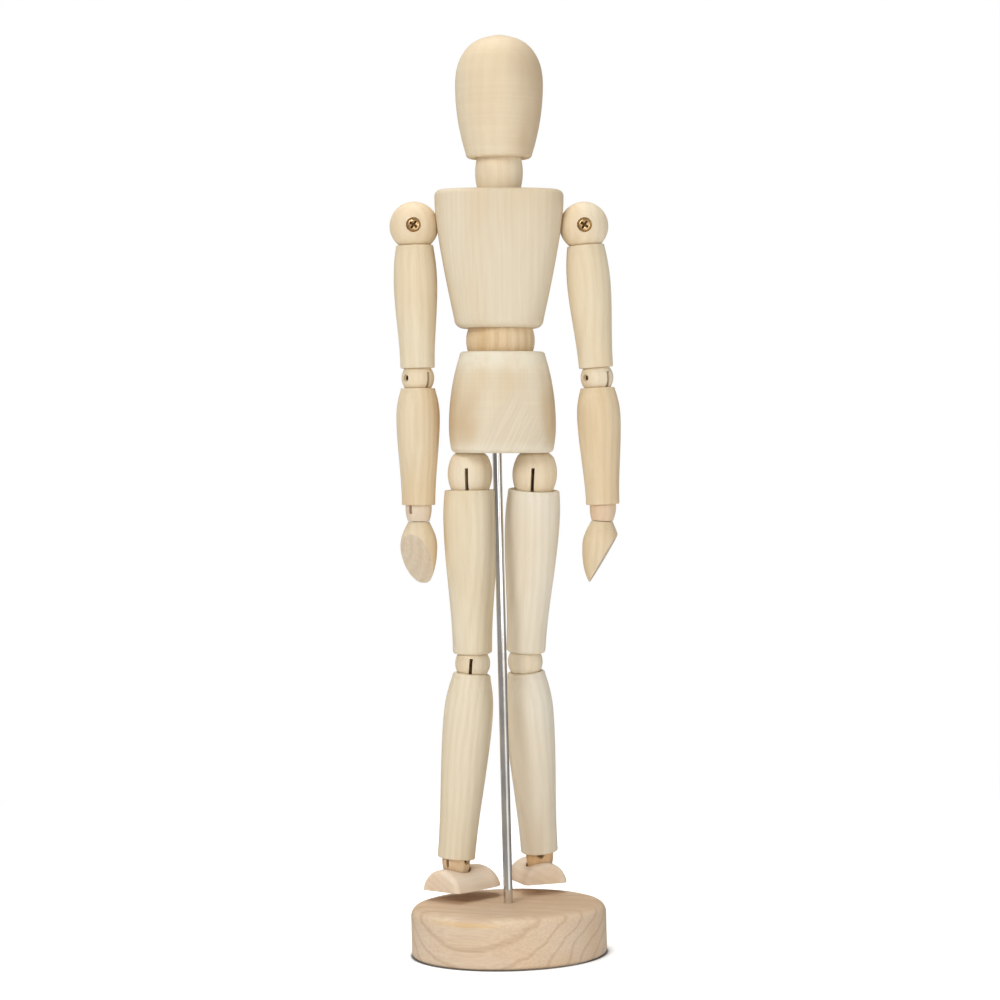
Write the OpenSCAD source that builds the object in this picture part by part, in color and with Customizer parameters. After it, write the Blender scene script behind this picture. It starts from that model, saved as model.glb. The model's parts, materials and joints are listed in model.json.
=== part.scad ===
// Jointed wooden drawing figure on a rod and a round base.
// Millimetres, +Z up, origin in the middle of the base's underside, the figure faces -Y.
// Right and left are the figure's own sides, so the right limbs have negative x.

/* [Stand] */
// diameter of the round base
base_diameter = 65; // [56:1:90]
// thickness of the base
base_height = 16.8; // [14:0.2:24]
// rounding of the base's upper edge
base_round = 3.4; // [1.5:0.1:5]
// rounding of the base's lower edge
base_foot_round = 1; // [0.5:0.1:2]
// diameter of the steel rod
rod_diameter = 3; // [2.4:0.1:4]
// depth of the rod's hole in the base
rod_in_base = 12; // [8:0.5:13]
// depth of the rod's hole in the pelvis
rod_in_pelvis = 19; // [12:0.5:21]

/* [Torso] */
// width of the pelvis
pelvis_width = 36; // [34:0.5:42]
// front to back size of the pelvis
pelvis_depth = 29.5; // [28.5:0.5:32]
// height of the pelvis
pelvis_height = 33.8; // [32:0.5:38]
// width of the pelvis at its top
pelvis_top_width = 28; // [27:0.2:30]
// rounding of the pelvis's lower edge
pelvis_low_round = 2; // [1.5:0.1:3]
// rounding of the pelvis's upper edge
pelvis_top_round = 1.2; // [1:0.1:1.4]
// width of the chest across the shoulders
chest_width = 43.2; // [40:0.2:46]
// width of the chest at the waist
chest_waist_width = 28.6; // [27:0.2:34]
// front to back size of the chest
chest_depth = 29; // [28.6:0.2:32]
// height of the chest
chest_height = 46; // [45:0.2:52]
// rounding of the chest's lower edge
chest_low_round = 3; // [2:0.2:3]
// rounding of the chest's upper edge
chest_top_round = 2; // [1.5:0.1:3]
// bare height of the waist between pelvis and chest
waist_gap = 7.9; // [6.5:0.1:10]
// radius of the waist ball
waist_radius = 11.5; // [11:0.1:11.7]
// bare height of the neck between chest and head
neck_gap = 10.7; // [9:0.1:12]
// widest radius of the neck
neck_radius = 8; // [7:0.1:8.6]
// height of the head
head_height = 41.1; // [36:0.1:46]
// widest diameter of the head
head_diameter = 29.4; // [27:0.2:34]
// diameter of the head at its lower rim
head_rim_diameter = 22.2; // [21:0.2:25]

/* [Arms] */
// radius of the shoulder balls
shoulder_radius = 8.2; // [7.8:0.1:8.6]
// distance of a shoulder's middle from the chest's middle
shoulder_out = 28.4; // [28:0.1:31]
// distance of the shoulders' middle below the chest's top
shoulder_down = 11.9; // [11.4:0.1:12.6]
// shoulder middle to elbow middle
upper_arm_length = 50.8; // [46:0.2:60]
// widest radius of the upper arm
upper_arm_radius = 7.3; // [6.6:0.1:8]
// radius of the elbow balls
elbow_radius = 5.5; // [5:0.1:5.8]
// elbow middle to wrist middle
forearm_length = 43.4; // [38:0.2:52]
// widest radius of the forearm
forearm_radius = 7.3; // [6.6:0.1:8]
// radius of the wrist balls
wrist_radius = 4.4; // [4.1:0.1:4.7]
// length of a hand below its wrist ball
hand_length = 21.4; // [18:0.2:26]
// widest diameter of a hand
hand_diameter = 12.4; // [11:0.2:14]
// slope of the flat cut on a hand
hand_cut = 27; // [22:1:32]

/* [Legs] */
// widest radius of the hip balls
hip_radius = 7.5; // [7.2:0.1:7.8]
// distance of a hip's middle from the pelvis's middle
hip_out = 10.85; // [10.7:0.05:11.4]
// hip middle to knee middle
thigh_length = 63.7; // [58:0.2:72]
// widest radius of the thigh
thigh_radius = 9.2; // [8.8:0.1:9.3]
// radius of the knee balls
knee_radius = 5.9; // [5.5:0.1:6.2]
// knee middle to ankle middle
shin_length = 66.6; // [66:0.2:68]
// widest radius of the shin
shin_radius = 8.3; // [7.6:0.1:8.5]
// radius of the ankle balls
ankle_radius = 4.7; // [4.4:0.1:5]
// length of a foot
foot_length = 26; // [24:0.5:29]
// half the width of the right foot
right_foot_half = 8.8; // [7.6:0.1:9]
// half the width of the left foot
left_foot_half = 7.8; // [7.6:0.1:8.4]
// height of a foot
foot_height = 7.3; // [7:0.1:7.5]
// middle of the right ankle behind the foot's flat end
right_foot_ahead = 8.3; // [7.4:0.1:9]
// middle of the left ankle behind the foot's flat end
left_foot_ahead = 6.8; // [6.6:0.1:8]
// middle of the ankle above the sole
ankle_height = 9.7; // [9.3:0.1:11]

/* [Joints] */
// gap between a ball and the cup that holds it
cup_gap = 0.22; // [0.15:0.01:0.3]
// width of the saw cut in a ball
kerf = 1.15; // [1.1:0.05:1.3]
// diameter of the cross pins
pin_diameter = 1.6; // [1.4:0.1:1.8]
// diameter of the headed stems
stem_diameter = 1.3; // [1.2:0.05:1.5]
// diameter of the spring wire
wire_diameter = 0.7; // [0.6:0.05:0.75]
// radius of a spring's coils, to the wire's middle
coil_radius = 1.85; // [1.75:0.05:1.95]
// diameter of the bores that hold the springs
bore_diameter = 5.2; // [5.1:0.1:5.6]
// diameter of the shoulder screws' heads
screw_head_diameter = 4.4; // [4:0.1:4.8]
// running gap round pins, stems and the rod
run_gap = 0.05; // [0.02:0.01:0.09]

/* [Pose] */
// lean of the figure towards its left
figure_lean = 1.45; // [0:0.05:2]
// right arm away from the body
right_arm_out = -1.4; // [-1.6:0.1:8]
// left arm away from the body
left_arm_out = 5; // [2:0.1:12]
// right forearm turned outwards at the elbow
right_elbow_out = 1.1; // [0:0.1:3]
// left forearm turned outwards at the elbow
left_elbow_out = -2.3; // [-3:0.1:1]
// right thigh towards the other leg
right_thigh_in = 0.7; // [0:0.1:1]
// left thigh towards the other leg
left_thigh_in = 3.3; // [2:0.1:3.5]
// right thigh swung back
right_thigh_back = 0.5; // [0:0.1:2]
// left thigh swung back
left_thigh_back = 4.6; // [4:0.1:7]
// right shin turned outwards at the knee
right_shin_out = 5.6; // [4:0.1:6]
// left shin turned outwards at the knee
left_shin_out = 7.1; // [6.8:0.1:8.5]
// bend of the right knee
right_knee_bend = 0; // [0:0.5:4]
// bend of the left knee
left_knee_bend = 1.9; // [0:0.1:4]
// right foot turned out
right_foot_out = 43; // [30:1:55]
// left foot turned out
left_foot_out = 18; // [14:1:50]
// way that the right hand's flat side faces
right_palm = -30; // [-60:5:0]
// way that the left hand's flat side faces
left_palm = 82; // [60:1:90]
// lean of the left hand towards the body
left_hand_lean = 6; // [0:0.5:8]

/* [Hidden] */
$fn = 48;
RIGHT = -1;
LEFT = 1;
small = 0.01;
far = 60;

// colours
pale_wood = [0.91, 0.85, 0.74];
warm_wood = [0.87, 0.76, 0.60];
base_wood = [0.88, 0.77, 0.66];
steel = [0.75, 0.75, 0.73];
brass = [0.66, 0.52, 0.32];

// stand: the figure hangs on the rod with its middle behind and beside it
figure_x = 1.8;
figure_y = 9;
rod_r = rod_diameter / 2;
rod_floor = base_height - rod_in_base;

// heights above the pelvis's lower face, along the figure
hip_z = -7;
waist_rim = 3.8;
waist_z = pelvis_height + waist_rim;
waist_x = -0.65;
chest_x = -1.15;
chest_z = pelvis_height + waist_gap;
chest_top = chest_z + chest_height;
neck_rim = 6;
neck_z = chest_top + neck_rim;
neck_cup = neck_radius + 1.3;
head_z = chest_top + neck_gap;
shoulder_z = chest_top - shoulder_down;

// turns of the pins about the limbs, from straight across
elbow_turn = 43;
function hip_turn(side) = side_of(side, -9, -6);

// cups, rims and outlines
hip_bulge = 0.93;
hip_cup = hip_radius + hip_bulge;
shoulder_rim = 6.4;
elbow_rim = 3.35;
wrist_rim = 0.9;
hip_rim = 5.4;
knee_rim = 3.3;
ankle_rim = 0.8;
wrist_foot = 4.5;
ankle_foot = 4.4;
end_round = 0.45;
shoulder_end_radius = 6.25;
elbow_end_radius = 5.75;
wrist_end_radius = 5.6;
hip_end_radius = 8.6;
knee_end_radius = 6.6;
ankle_end_radius = 6.3;
knee_round = 1.2;
barrel_bulge = 12;
neck_bulge = 19;
wrist_bulge = 12.7;

// fittings
pin_r = pin_diameter / 2;
stem_r = stem_diameter / 2;
stem_head_r = 1.05;
stem_head = 0.8;
stem_out = 3.4;
stem_in = 2.4;
wire_r = wire_diameter / 2;
loop_gap = 0.12;
eye_r = pin_r + loop_gap + wire_r;
ring_r = stem_r + loop_gap + wire_r;
kerf_reach = eye_r + wire_r + 0.3;
bore_r = bore_diameter / 2;
screw_head_r = screw_head_diameter / 2;
plug_r = 1.25;
plug_depth = 1.1;
pin_inset = 0.9;
pin_blind = 1.3;
pin_show = 0.25;
end_gap = 0.1;
bolt_r = 0.45;
bolt_eye = pin_r + loop_gap + bolt_r;
shank_r = 1.1;
shank_in = 4;
waist_shank = 7;
neck_shank = 4.7;
head_shank = 12;
waist_swing = 27;
neck_swing = 36;
slot_room = 1;
waist_slot = waist_radius * sin(waist_swing) + slot_room;
neck_slot = neck_cup * sin(neck_swing) + slot_room;
screw_recess = 1.7;
screw_gap = 0.3;
screw_blind = 2;
blind_cut = 2.2;
tenon_r = 1.9;
tenon = 2.6;
hole_turn = 20;

// springs: the pelvis and the chest have cross pins that theirs hang on
pelvis_cross = 14.5;
pelvis_cross_half = 15;
chest_cross = chest_z + 27;
chest_cross_half = 9;
cross_room = 2.2;
coil_lead = 1.2;
cross_lead = 2.6;
ring_lead = 1.7;
ring_seat = 0.35;
ring_below_top = stem_out - stem_head - wire_r - ring_seat;
coil_steps = 8;
wire_sides = 5;

function side_of(side, right, left) = side < 0 ? right : left;
function slide(v) = [[1, 0, 0, v.x], [0, 1, 0, v.y], [0, 0, 1, v.z], [0, 0, 0, 1]];
function turn_x(a) = [[1, 0, 0, 0], [0, cos(a), -sin(a), 0], [0, sin(a), cos(a), 0], [0, 0, 0, 1]];
function turn_y(a) = [[cos(a), 0, sin(a), 0], [0, 1, 0, 0], [-sin(a), 0, cos(a), 0], [0, 0, 0, 1]];
function turn_z(a) = [[cos(a), -sin(a), 0, 0], [sin(a), cos(a), 0, 0], [0, 0, 1, 0], [0, 0, 0, 1]];
function put(m, p) = let (q = m * [p.x, p.y, p.z, 1]) [q.x, q.y, q.z];
function middle_of(m) = [m[0][3], m[1][3], m[2][3]];

// where each piece stands: the ball frames have their cross pin along x
// the figure hangs at the height that leaves its lower foot just clear of the base
foot_air = 3.43;
legs_reach = max([for (side = [RIGHT, LEFT]) -middle_of(leg_end(side, turn_y(figure_lean))).z]);
figure_z = base_height + foot_air + ankle_height + legs_reach;
rod_top = figure_z + rod_in_pelvis - run_gap;
figure = slide([figure_x, figure_y, figure_z]) * turn_y(figure_lean);
waist_at = figure * slide([waist_x, 0, waist_z]);
chest_at = figure * slide([chest_x, 0, 0]);
neck_at = chest_at * slide([0, 0, neck_z]);

function shoulder_at(side) = chest_at * slide([side * shoulder_out, 0, shoulder_z]);
function arm_out(side) = side_of(side, right_arm_out, left_arm_out);
function upper_arm_at(side) = shoulder_at(side) * turn_y(-side * arm_out(side));
function elbow_lean(side) = -side * side_of(side, right_elbow_out, left_elbow_out);
function elbow_top(side) = upper_arm_at(side) * slide([0, 0, -upper_arm_length]);
function forearm_at(side) = elbow_top(side) * turn_y(elbow_lean(side));
function elbow_at(side) = forearm_at(side) * turn_z(elbow_turn);
function wrist_turn(side) = side_of(side, -38, -100);
function wrist_top(side) = forearm_at(side) * slide([0, 0, -forearm_length]);
function wrist_hook(side) = wrist_top(side) * turn_z(wrist_turn(side));
function wrist_at(side) = wrist_hook(side) * turn_x(side_of(side, 0, -left_hand_lean));
function palm_turn(side) = side_of(side, right_palm, left_palm) - wrist_turn(side);
function hand_at(side) = wrist_at(side) * turn_z(palm_turn(side));

function thigh_in(side) = side * side_of(side, right_thigh_in, left_thigh_in);
function thigh_back(side) = side_of(side, right_thigh_back, left_thigh_back);
function hip_top(side, from = figure) = from * slide([side * hip_out, 0, hip_z]);
function hip_at(side, from = figure) =
    hip_top(side, from) * turn_y(thigh_in(side)) * turn_z(hip_turn(side));
function thigh_at(side, from = figure) =
    hip_at(side, from) * turn_x(thigh_back(side)) * turn_z(-hip_turn(side));
function knee_top(side, from = figure) = thigh_at(side, from) * slide([0, 0, -thigh_length]);
function knee_turn(side) = side_of(side, -6, 0);
function shin_out(side) = -side * side_of(side, right_shin_out, left_shin_out);
function knee_bend(side) = side_of(side, right_knee_bend, left_knee_bend);
function knee_at(side, from = figure) =
    knee_top(side, from) * turn_y(shin_out(side)) * turn_z(knee_turn(side));
function shin_at(side, from = figure) =
    knee_at(side, from) * turn_x(knee_bend(side)) * turn_z(-knee_turn(side));
function leg_end(side, from = figure) = shin_at(side, from) * slide([0, 0, -shin_length]);
function ankle_turn(side) = side_of(side, -37, -88);
function foot_turn(side) = side * side_of(side, right_foot_out, left_foot_out);
function ankle_at(side) = slide(middle_of(leg_end(side))) * turn_z(ankle_turn(side));
function foot_at(side) = slide(middle_of(leg_end(side))) * turn_z(foot_turn(side));

module at(m) {
    multmatrix(m) children();
}

// outline of a ball that fits its cup: a barrel of radius r inside a sphere
function ball_outline(cup, r, bulge, low, high) = concat([[0, low]],
    [for (i = [0:24]) let (a = asin(low / cup), b = asin(high / cup), z = cup * sin(a + (b - a) * i / 24))
        [min(r - z * z / (2 * bulge), sqrt(cup * cup - z * z)), z]],
    [[0, high]]);

// outline of a ball whose lower end is a turned foot that stands on the next piece
function footed_outline(r, bulge, foot, high) = concat([[0, -foot]],
    [for (i = [0:10]) let (z = -foot + foot * i / 10) [r - z * z / (2 * bulge), z]],
    [for (i = [1:12]) let (a = asin(high / r) * i / 12) [r * cos(a), r * sin(a)]],
    [[0, high]]);

// outline of a turned limb from its upper rim at z = -top downwards
function limb_side(s, length, r0, r1, r2, belly, c0, c1) = s < belly
    ? r1 - (r1 - r0) * pow((belly - s) / (belly - c0), 2)
    : let (u = (s - belly) / (length - c1 - belly)) r1 - (r1 - r2) * u * u * (3 - 2 * u);
function limb_outline(top, length, r0, r1, r2, belly, c0, c1) = concat([[0, -top]],
    [for (a = [90:-30:30]) [r0 - c0 + c0 * cos(a), -top - c0 + c0 * sin(a)]],
    [for (i = [0:6]) let (s = c0 + (belly - c0) * i / 6)
        [limb_side(s, length, r0, r1, r2, belly, c0, c1), -top - s]],
    [for (i = [1:12]) let (s = belly + (length - c1 - belly) * i / 12)
        [limb_side(s, length, r0, r1, r2, belly, c0, c1), -top - s]],
    [for (a = [-22.5:-22.5:-90]) [r2 - c1 + c1 * cos(a), -top - length + c1 + c1 * sin(a)]],
    [[0, -top - length]]);

// a turned solid from an outline
module turned(outline) {
    rotate_extrude() polygon(outline);
}

// a cylinder along x from x0 to x1
module bar_x(r, x0, x1) {
    translate([x0, 0, 0]) rotate([0, 90, 0]) cylinder(r = r, h = x1 - x0);
}

// a cylinder along y from y0 to y1
module bar_y(r, y0, y1) {
    translate([0, y1, 0]) rotate([90, 0, 0]) cylinder(r = r, h = y1 - y0);
}

// a cylinder along z from z0 to z1
module bar_z(r, z0, z1) {
    translate([0, 0, z0]) cylinder(r = r, h = z1 - z0);
}

// saw cut in the plane across the pin: from z0 to z1, from y0 to y1
module saw_cut(z0, z1, y0, y1) {
    translate([-kerf / 2, y0, z0]) cube([kerf, y1 - y0, z1 - z0]);
}

// headed stem that stands up out of a ball whose top is at height top
module stem(top) {
    bar_z(stem_r, top - stem_in, top + stem_out);
    bar_z(stem_head_r, top + stem_out - stem_head, top + stem_out);
}

module stem_hole(top) {
    bar_z(stem_r + run_gap, top - stem_in - run_gap, top + 1);
}

// oval body lofted between outlines: rows of [z, half width, half depth, squareness]
function oval(row, a) = let (c = cos(a), s = sin(a), p = 2 / row[3])
    [row[1] * sign(c) * pow(abs(c), p), row[2] * sign(s) * pow(abs(s), p), row[0]];
module loft(rows, steps = 48) {
    last = len(rows) - 1;
    polyhedron(
        points = [for (row = rows) for (j = [0:steps - 1]) oval(row, 360 * j / steps)],
        faces = concat(
            [[for (j = [0:steps - 1]) j]],
            [for (i = [0:last - 1]) for (j = [0:steps - 1]) let (k = (j + 1) % steps)
                [i * steps + j, (i + 1) * steps + j, (i + 1) * steps + k]],
            [for (i = [0:last - 1]) for (j = [0:steps - 1]) let (k = (j + 1) % steps)
                [i * steps + j, (i + 1) * steps + k, i * steps + k]],
            [[for (j = [steps - 1:-1:0]) last * steps + j]]));
}

// heights of the loft's rows with rounded lower and upper edges: [z, inset]
function edge_rows(height, low, high) = concat(
    [for (a = [0:22.5:67.5]) [low * (1 - cos(a)), low * (1 - sin(a))]],
    [for (i = [0:10]) [low + (height - low - high) * i / 10, 0]],
    [for (a = [67.5:-22.5:0]) [height - high * (1 - cos(a)), high * (1 - sin(a))]]);

// wire swept along a path of points
function unit(v) = v / norm(v);
function across(n, t) = unit(n - (n * t) * t);
function first_across(t) = unit(cross(t, abs(t.z) < 0.9 ? [0, 0, 1] : [1, 0, 0]));
module wire(path, r = wire_r) {
    n = len(path);
    m = wire_sides;
    ways = [for (i = [0:n - 1]) unit(path[min(i + 1, n - 1)] - path[max(i - 1, 0)])];
    normals = [for (i = 0, v = first_across(ways[0]); i < n;
        i = i + 1, v = across(v, ways[min(i, n - 1)])) v];
    polyhedron(
        points = [for (i = [0:n - 1]) for (j = [0:m - 1])
            let (a = 360 * j / m, v = normals[i], w = cross(ways[i], v))
            path[i] + r * (cos(a) * v + sin(a) * w)],
        faces = concat(
            [[for (j = [0:m - 1]) j]],
            [for (i = [0:n - 2]) for (j = [0:m - 1]) let (k = (j + 1) % m)
                [i * m + j, (i + 1) * m + j, (i + 1) * m + k]],
            [for (i = [0:n - 2]) for (j = [0:m - 1]) let (k = (j + 1) % m)
                [i * m + j, (i + 1) * m + k, i * m + k]],
            [[for (j = [m - 1:-1:0]) (n - 1) * m + j]]));
}

// parts of a spring's path, each in the frame m
function eye_above(m, lead) = concat(
    [for (a = [270:-30:0]) put(m, [0, eye_r * cos(a), eye_r * sin(a)])],
    [put(m, [0, eye_r, -lead])]);
function eye_below(m, lead) = concat(
    [put(m, [0, eye_r, lead])],
    [for (a = [0:-30:-270]) put(m, [0, eye_r * cos(a), eye_r * sin(a)])]);
function coil(m, a0, turns, z0, z1) = let (n = floor(turns * coil_steps))
    [for (i = [0:n]) let (a = a0 + 360 * turns * i / n)
        put(m, [coil_radius * cos(a), coil_radius * sin(a), z0 + (z1 - z0) * i / n])];
function ring_radius(s) = coil_radius + (ring_r - coil_radius) * s;
function ring_below(m, a0, z0, z1) = [for (i = [1:coil_steps + 3])
    let (s = min(1, i / coil_steps), a = a0 + 360 * i / coil_steps, r = ring_radius(s))
        put(m, [r * cos(a), r * sin(a), z0 + (z1 - z0) * s])];

// spring of a limb: eye on the pin of the ball above, ring on the stem of the ball below
module stem_spring(eye, m, eye_turn, turns, upper_ball, length, lower_ball) {
    z0 = -upper_ball - coil_lead;
    z2 = -length + lower_ball + ring_below_top;
    z1 = z2 + ring_lead;
    wire(concat(eye_above(eye, upper_ball), coil(m, 90 + eye_turn, turns, z0, z1),
        ring_below(m, 90 + eye_turn + 360 * turns, z1, z2)));
}

// spring of a limb with an eye at both ends
module eye_spring(eye, m, eye_turn, turns, upper_ball, length, lower_ball, low_eye, low_turn) {
    z0 = -upper_ball - coil_lead;
    z1 = -length + lower_ball + coil_lead;
    wire(concat(eye_above(eye, upper_ball),
        coil(m, 90 + eye_turn, turns + (low_turn - eye_turn) / 360, z0, z1),
        eye_below(low_eye, lower_ball)));
}

// stand
module base() {
    edge = base_round;
    foot = base_foot_round;
    r = base_diameter / 2;
    color(base_wood) difference() {
        rotate_extrude($fn = 96) polygon(concat([[0, 0]],
            [for (a = [-90:22.5:0]) [r - foot + foot * cos(a), foot + foot * sin(a)]],
            [for (a = [0:11.25:90]) [r - edge + edge * cos(a), base_height - edge + edge * sin(a)]],
            [[0, base_height]]));
        bar_z(rod_r + run_gap, rod_floor, base_height + 1);
    }
}

module support_rod() {
    color(steel) bar_z(rod_r, rod_floor + run_gap, rod_top);
}

// torso
function pelvis_half(z) = let (low = 8, taper = 1.2, top = pelvis_top_width / 2, half = pelvis_width / 2)
    z > low ? half - (half - top) * pow((z - low) / (pelvis_height - low), 2.2)
        : half - taper * pow((low - z) / low, 2);
module pelvis() {
    depth_share = 0.28;
    square = 2.7;
    rows = [for (e = edge_rows(pelvis_height, pelvis_low_round, pelvis_top_round))
        let (w = pelvis_half(e[0]), d = pelvis_depth / 2 * (1 - depth_share * (1 - 2 * w / pelvis_width)))
        [e[0], w - e[1], d - e[1], square]];
    color(pale_wood) difference() {
        at(figure) difference() {
            loft(rows);
            translate([waist_x, 0, waist_z]) sphere(waist_radius + cup_gap);
            translate([waist_x, 0, waist_z])
                bar_z(shank_r + run_gap, -waist_radius - waist_shank - end_gap, 0);
            for (side = [RIGHT, LEFT]) translate([side * hip_out, 0, 0]) {
                translate([0, 0, hip_z]) sphere(hip_cup + cup_gap);
                bar_z(bore_r, 0, pelvis_cross + cross_room);
            }
            translate([0, 0, pelvis_cross]) bar_x(pin_r + run_gap, -far, pelvis_cross_half + end_gap);
        }
        bar_z(rod_r + run_gap, figure_z - pelvis_low_round, figure_z + rod_in_pelvis);
    }
}

module pelvis_cross_pin() {
    color(steel) at(figure) translate([0, 0, pelvis_cross])
        bar_x(pin_r, -pelvis_cross_half, pelvis_cross_half);
}

module hip_springs() {
    color(steel) for (side = [RIGHT, LEFT]) {
        m = figure * slide([side * hip_out, 0, 0]);
        z2 = hip_z + hip_cup + ring_below_top;
        z1 = z2 + ring_lead;
        wire(concat(eye_above(m * slide([0, 0, pelvis_cross]), cross_lead / 2),
            coil(m, 90, 3, pelvis_cross - cross_lead, z1), ring_below(m, 90, z1, z2)));
    }
}

module waist_ball() {
    top = waist_radius * 0.95;
    color(warm_wood) at(waist_at) difference() {
        turned(ball_outline(waist_radius, waist_radius, far, -top, top));
        saw_cut(-kerf_reach, far, -waist_slot, waist_slot);
        bar_x(pin_r + run_gap, -far, waist_radius - pin_blind);
        bar_z(shank_r + run_gap, -far, -waist_radius + shank_in + end_gap);
    }
}

module waist_fittings() {
    color(steel) at(waist_at) {
        bar_x(pin_r, -waist_radius + pin_inset, waist_radius - pin_blind - end_gap);
        bar_z(shank_r, -waist_radius - waist_shank, -waist_radius + shank_in);
    }
}

// eye bolt: an eye round the pin and a straight shank
module eye_bolt(length) {
    rotate([0, 90, 0]) rotate_extrude() translate([bolt_eye, 0]) circle(bolt_r, $fn = 24);
    bar_z(bolt_r - 0.05, bolt_eye, length);
}

module waist_eye() {
    color(steel) at(waist_at) {
        eye_bolt(waist_radius + stem_out);
        bar_z(stem_head_r, waist_radius + stem_out - stem_head, waist_radius + stem_out);
    }
}

function chest_half(z) = let (full = chest_height - 5.3, u = min(1, z / full))
    chest_waist_width / 2 + (chest_width - chest_waist_width) / 2 * (1 - pow(1 - u, 1.27));
module chest() {
    depth_share = 0.04;
    square = 3;
    rows = [for (e = edge_rows(chest_height, chest_low_round, chest_top_round))
        let (w = chest_half(e[0]), d = chest_depth / 2 * (1 - depth_share * (1 - 2 * w / chest_width)))
        [e[0], w - e[1], d - e[1], square]];
    color(pale_wood) at(chest_at) difference() {
        translate([0, 0, chest_z]) loft(rows);
        translate([waist_x - chest_x, 0, waist_z]) sphere(waist_radius + cup_gap);
        translate([0, 0, neck_z]) sphere(neck_cup + cup_gap);
        translate([waist_x - chest_x, 0, 0]) bar_z(bore_r, waist_z, chest_cross + cross_room);
        translate([waist_x - chest_x, 0, chest_cross])
            bar_y(pin_r + run_gap, -chest_cross_half - end_gap, far);
        translate([0, 0, neck_z]) bar_z(shank_r + run_gap, -neck_cup - neck_shank - end_gap, 0);
        translate([0, 0, shoulder_z]) {
            bar_x(bore_r, -shoulder_out, shoulder_out);
            for (side = [RIGHT, LEFT]) translate([side * shoulder_out, 0, 0])
                sphere(shoulder_radius + cup_gap);
        }
    }
}

module chest_cross_pin() {
    color(steel) at(chest_at * slide([waist_x - chest_x, 0, chest_cross]))
        bar_y(pin_r, -chest_cross_half, chest_cross_half);
}

module spine_spring() {
    m = figure * slide([waist_x, 0, 0]);
    z2 = waist_z + waist_radius + ring_below_top;
    z1 = z2 + ring_lead;
    color(steel) wire(concat(eye_above(m * slide([0, 0, chest_cross]) * turn_z(90), cross_lead / 2),
        coil(m, 180, 4, chest_cross - cross_lead, z1), ring_below(m, 180, z1, z2)));
}

module shoulder_spring() {
    half = shoulder_out - shoulder_radius - ring_below_top;
    inner = half - ring_lead;
    m = chest_at * slide([0, 0, shoulder_z]) * turn_y(90);
    start = [for (i = [coil_steps + 3:-1:1])
        let (s = min(1, i / coil_steps), r = ring_radius(s), a = -360 * i / coil_steps)
        put(m, [r * cos(a), r * sin(a), -inner - (half - inner) * s])];
    color(steel) wire(concat(start, coil(m, 0, 9, -inner, inner), ring_below(m, 0, inner, half)));
}

module neck_ball() {
    top = neck_cup * 0.95;
    color(pale_wood) at(neck_at) difference() {
        turned(ball_outline(neck_cup, neck_radius, neck_bulge, -top, top));
        saw_cut(-kerf_reach, far, -neck_slot, neck_slot);
        bar_x(pin_r + run_gap, -far, neck_radius - pin_blind);
        bar_z(shank_r + run_gap, -far, -neck_cup + shank_in + end_gap);
    }
}

module neck_fittings() {
    color(steel) at(neck_at) {
        bar_x(pin_r, -neck_radius + pin_inset, neck_radius - pin_blind - end_gap);
        bar_z(shank_r, -neck_cup - neck_shank, -neck_cup + shank_in);
    }
}

module head_eye() {
    color(steel) at(neck_at) {
        eye_bolt(neck_cup + 2 * shank_r);
        bar_z(shank_r, neck_cup + shank_r, neck_cup + head_shank);
    }
}

module head() {
    low = head_z - neck_z;
    r = head_diameter / 2;
    rim = head_rim_diameter / 2;
    c = 1.4;
    crown = head_height * 0.405;
    belly = low + head_height - crown;
    square = 2.25;
    color(pale_wood) at(neck_at) difference() {
        rotate_extrude($fn = 64) polygon(concat([[0, low]],
            [for (a = [-90:22.5:-22.5]) [rim - c + c * cos(a), low + c + c * sin(a)]],
            [for (i = [0:12]) let (z = low + c + (belly - low - c) * i / 12)
                [r - (r - rim) * pow((belly - z) / (belly - low - c), 2), z]],
            [for (i = [1:20]) let (a = 88 * i / 20)
                [r * pow(cos(a), 2 / square), belly + crown * pow(sin(a), 2 / square)]],
            [[0, low + head_height]]));
        sphere(neck_cup + cup_gap);
        bar_z(shank_r + run_gap, 0, neck_cup + head_shank + end_gap);
    }
}

// arms
module shoulder_ball(side) {
    floor_y = shoulder_radius - screw_recess;
    top = shoulder_radius * 0.95;
    color(pale_wood) at(shoulder_at(side)) difference() {
        rotate([0, -side * 90, 0])
            turned(ball_outline(shoulder_radius, shoulder_radius, far, -shoulder_radius + small, top));
        mirror([side < 0 ? 1 : 0, 0, 0])
            translate([-kerf_reach, -kerf / 2, -far]) cube([far, kerf, far + kerf_reach]);
        bar_y(screw_head_r + screw_gap, -far, -floor_y);
        bar_y(pin_r + run_gap, -far, shoulder_radius - screw_blind + end_gap);
        rotate([0, -side * 90, 0]) stem_hole(shoulder_radius);
    }
}

module shoulder_fittings(side) {
    floor_y = shoulder_radius - screw_recess;
    head_rise = 0.55;
    dome = 1.1;
    shoulder = 0.75;
    cross_width = 0.75;
    cross_length = 2.9;
    cross_depth = 0.75;
    cross_turn = 35;
    color(brass) at(shoulder_at(side)) {
        difference() {
            union() {
                bar_y(pin_r, -floor_y - head_rise, shoulder_radius - screw_blind);
                translate([0, -floor_y, 0]) rotate([90, 0, 0]) rotate_extrude()
                    polygon([[0, 0], [screw_head_r, 0], [screw_head_r, head_rise],
                        [screw_head_r * shoulder, head_rise + (dome - head_rise) * shoulder], [0, dome]]);
            }
            for (a = [0, 90]) translate([0, -floor_y - dome, 0]) rotate([0, a + cross_turn, 0])
                cube([cross_length, 2 * cross_depth, cross_width], center = true);
        }
        rotate([0, -side * 90, 0]) stem(shoulder_radius);
    }
}

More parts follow.
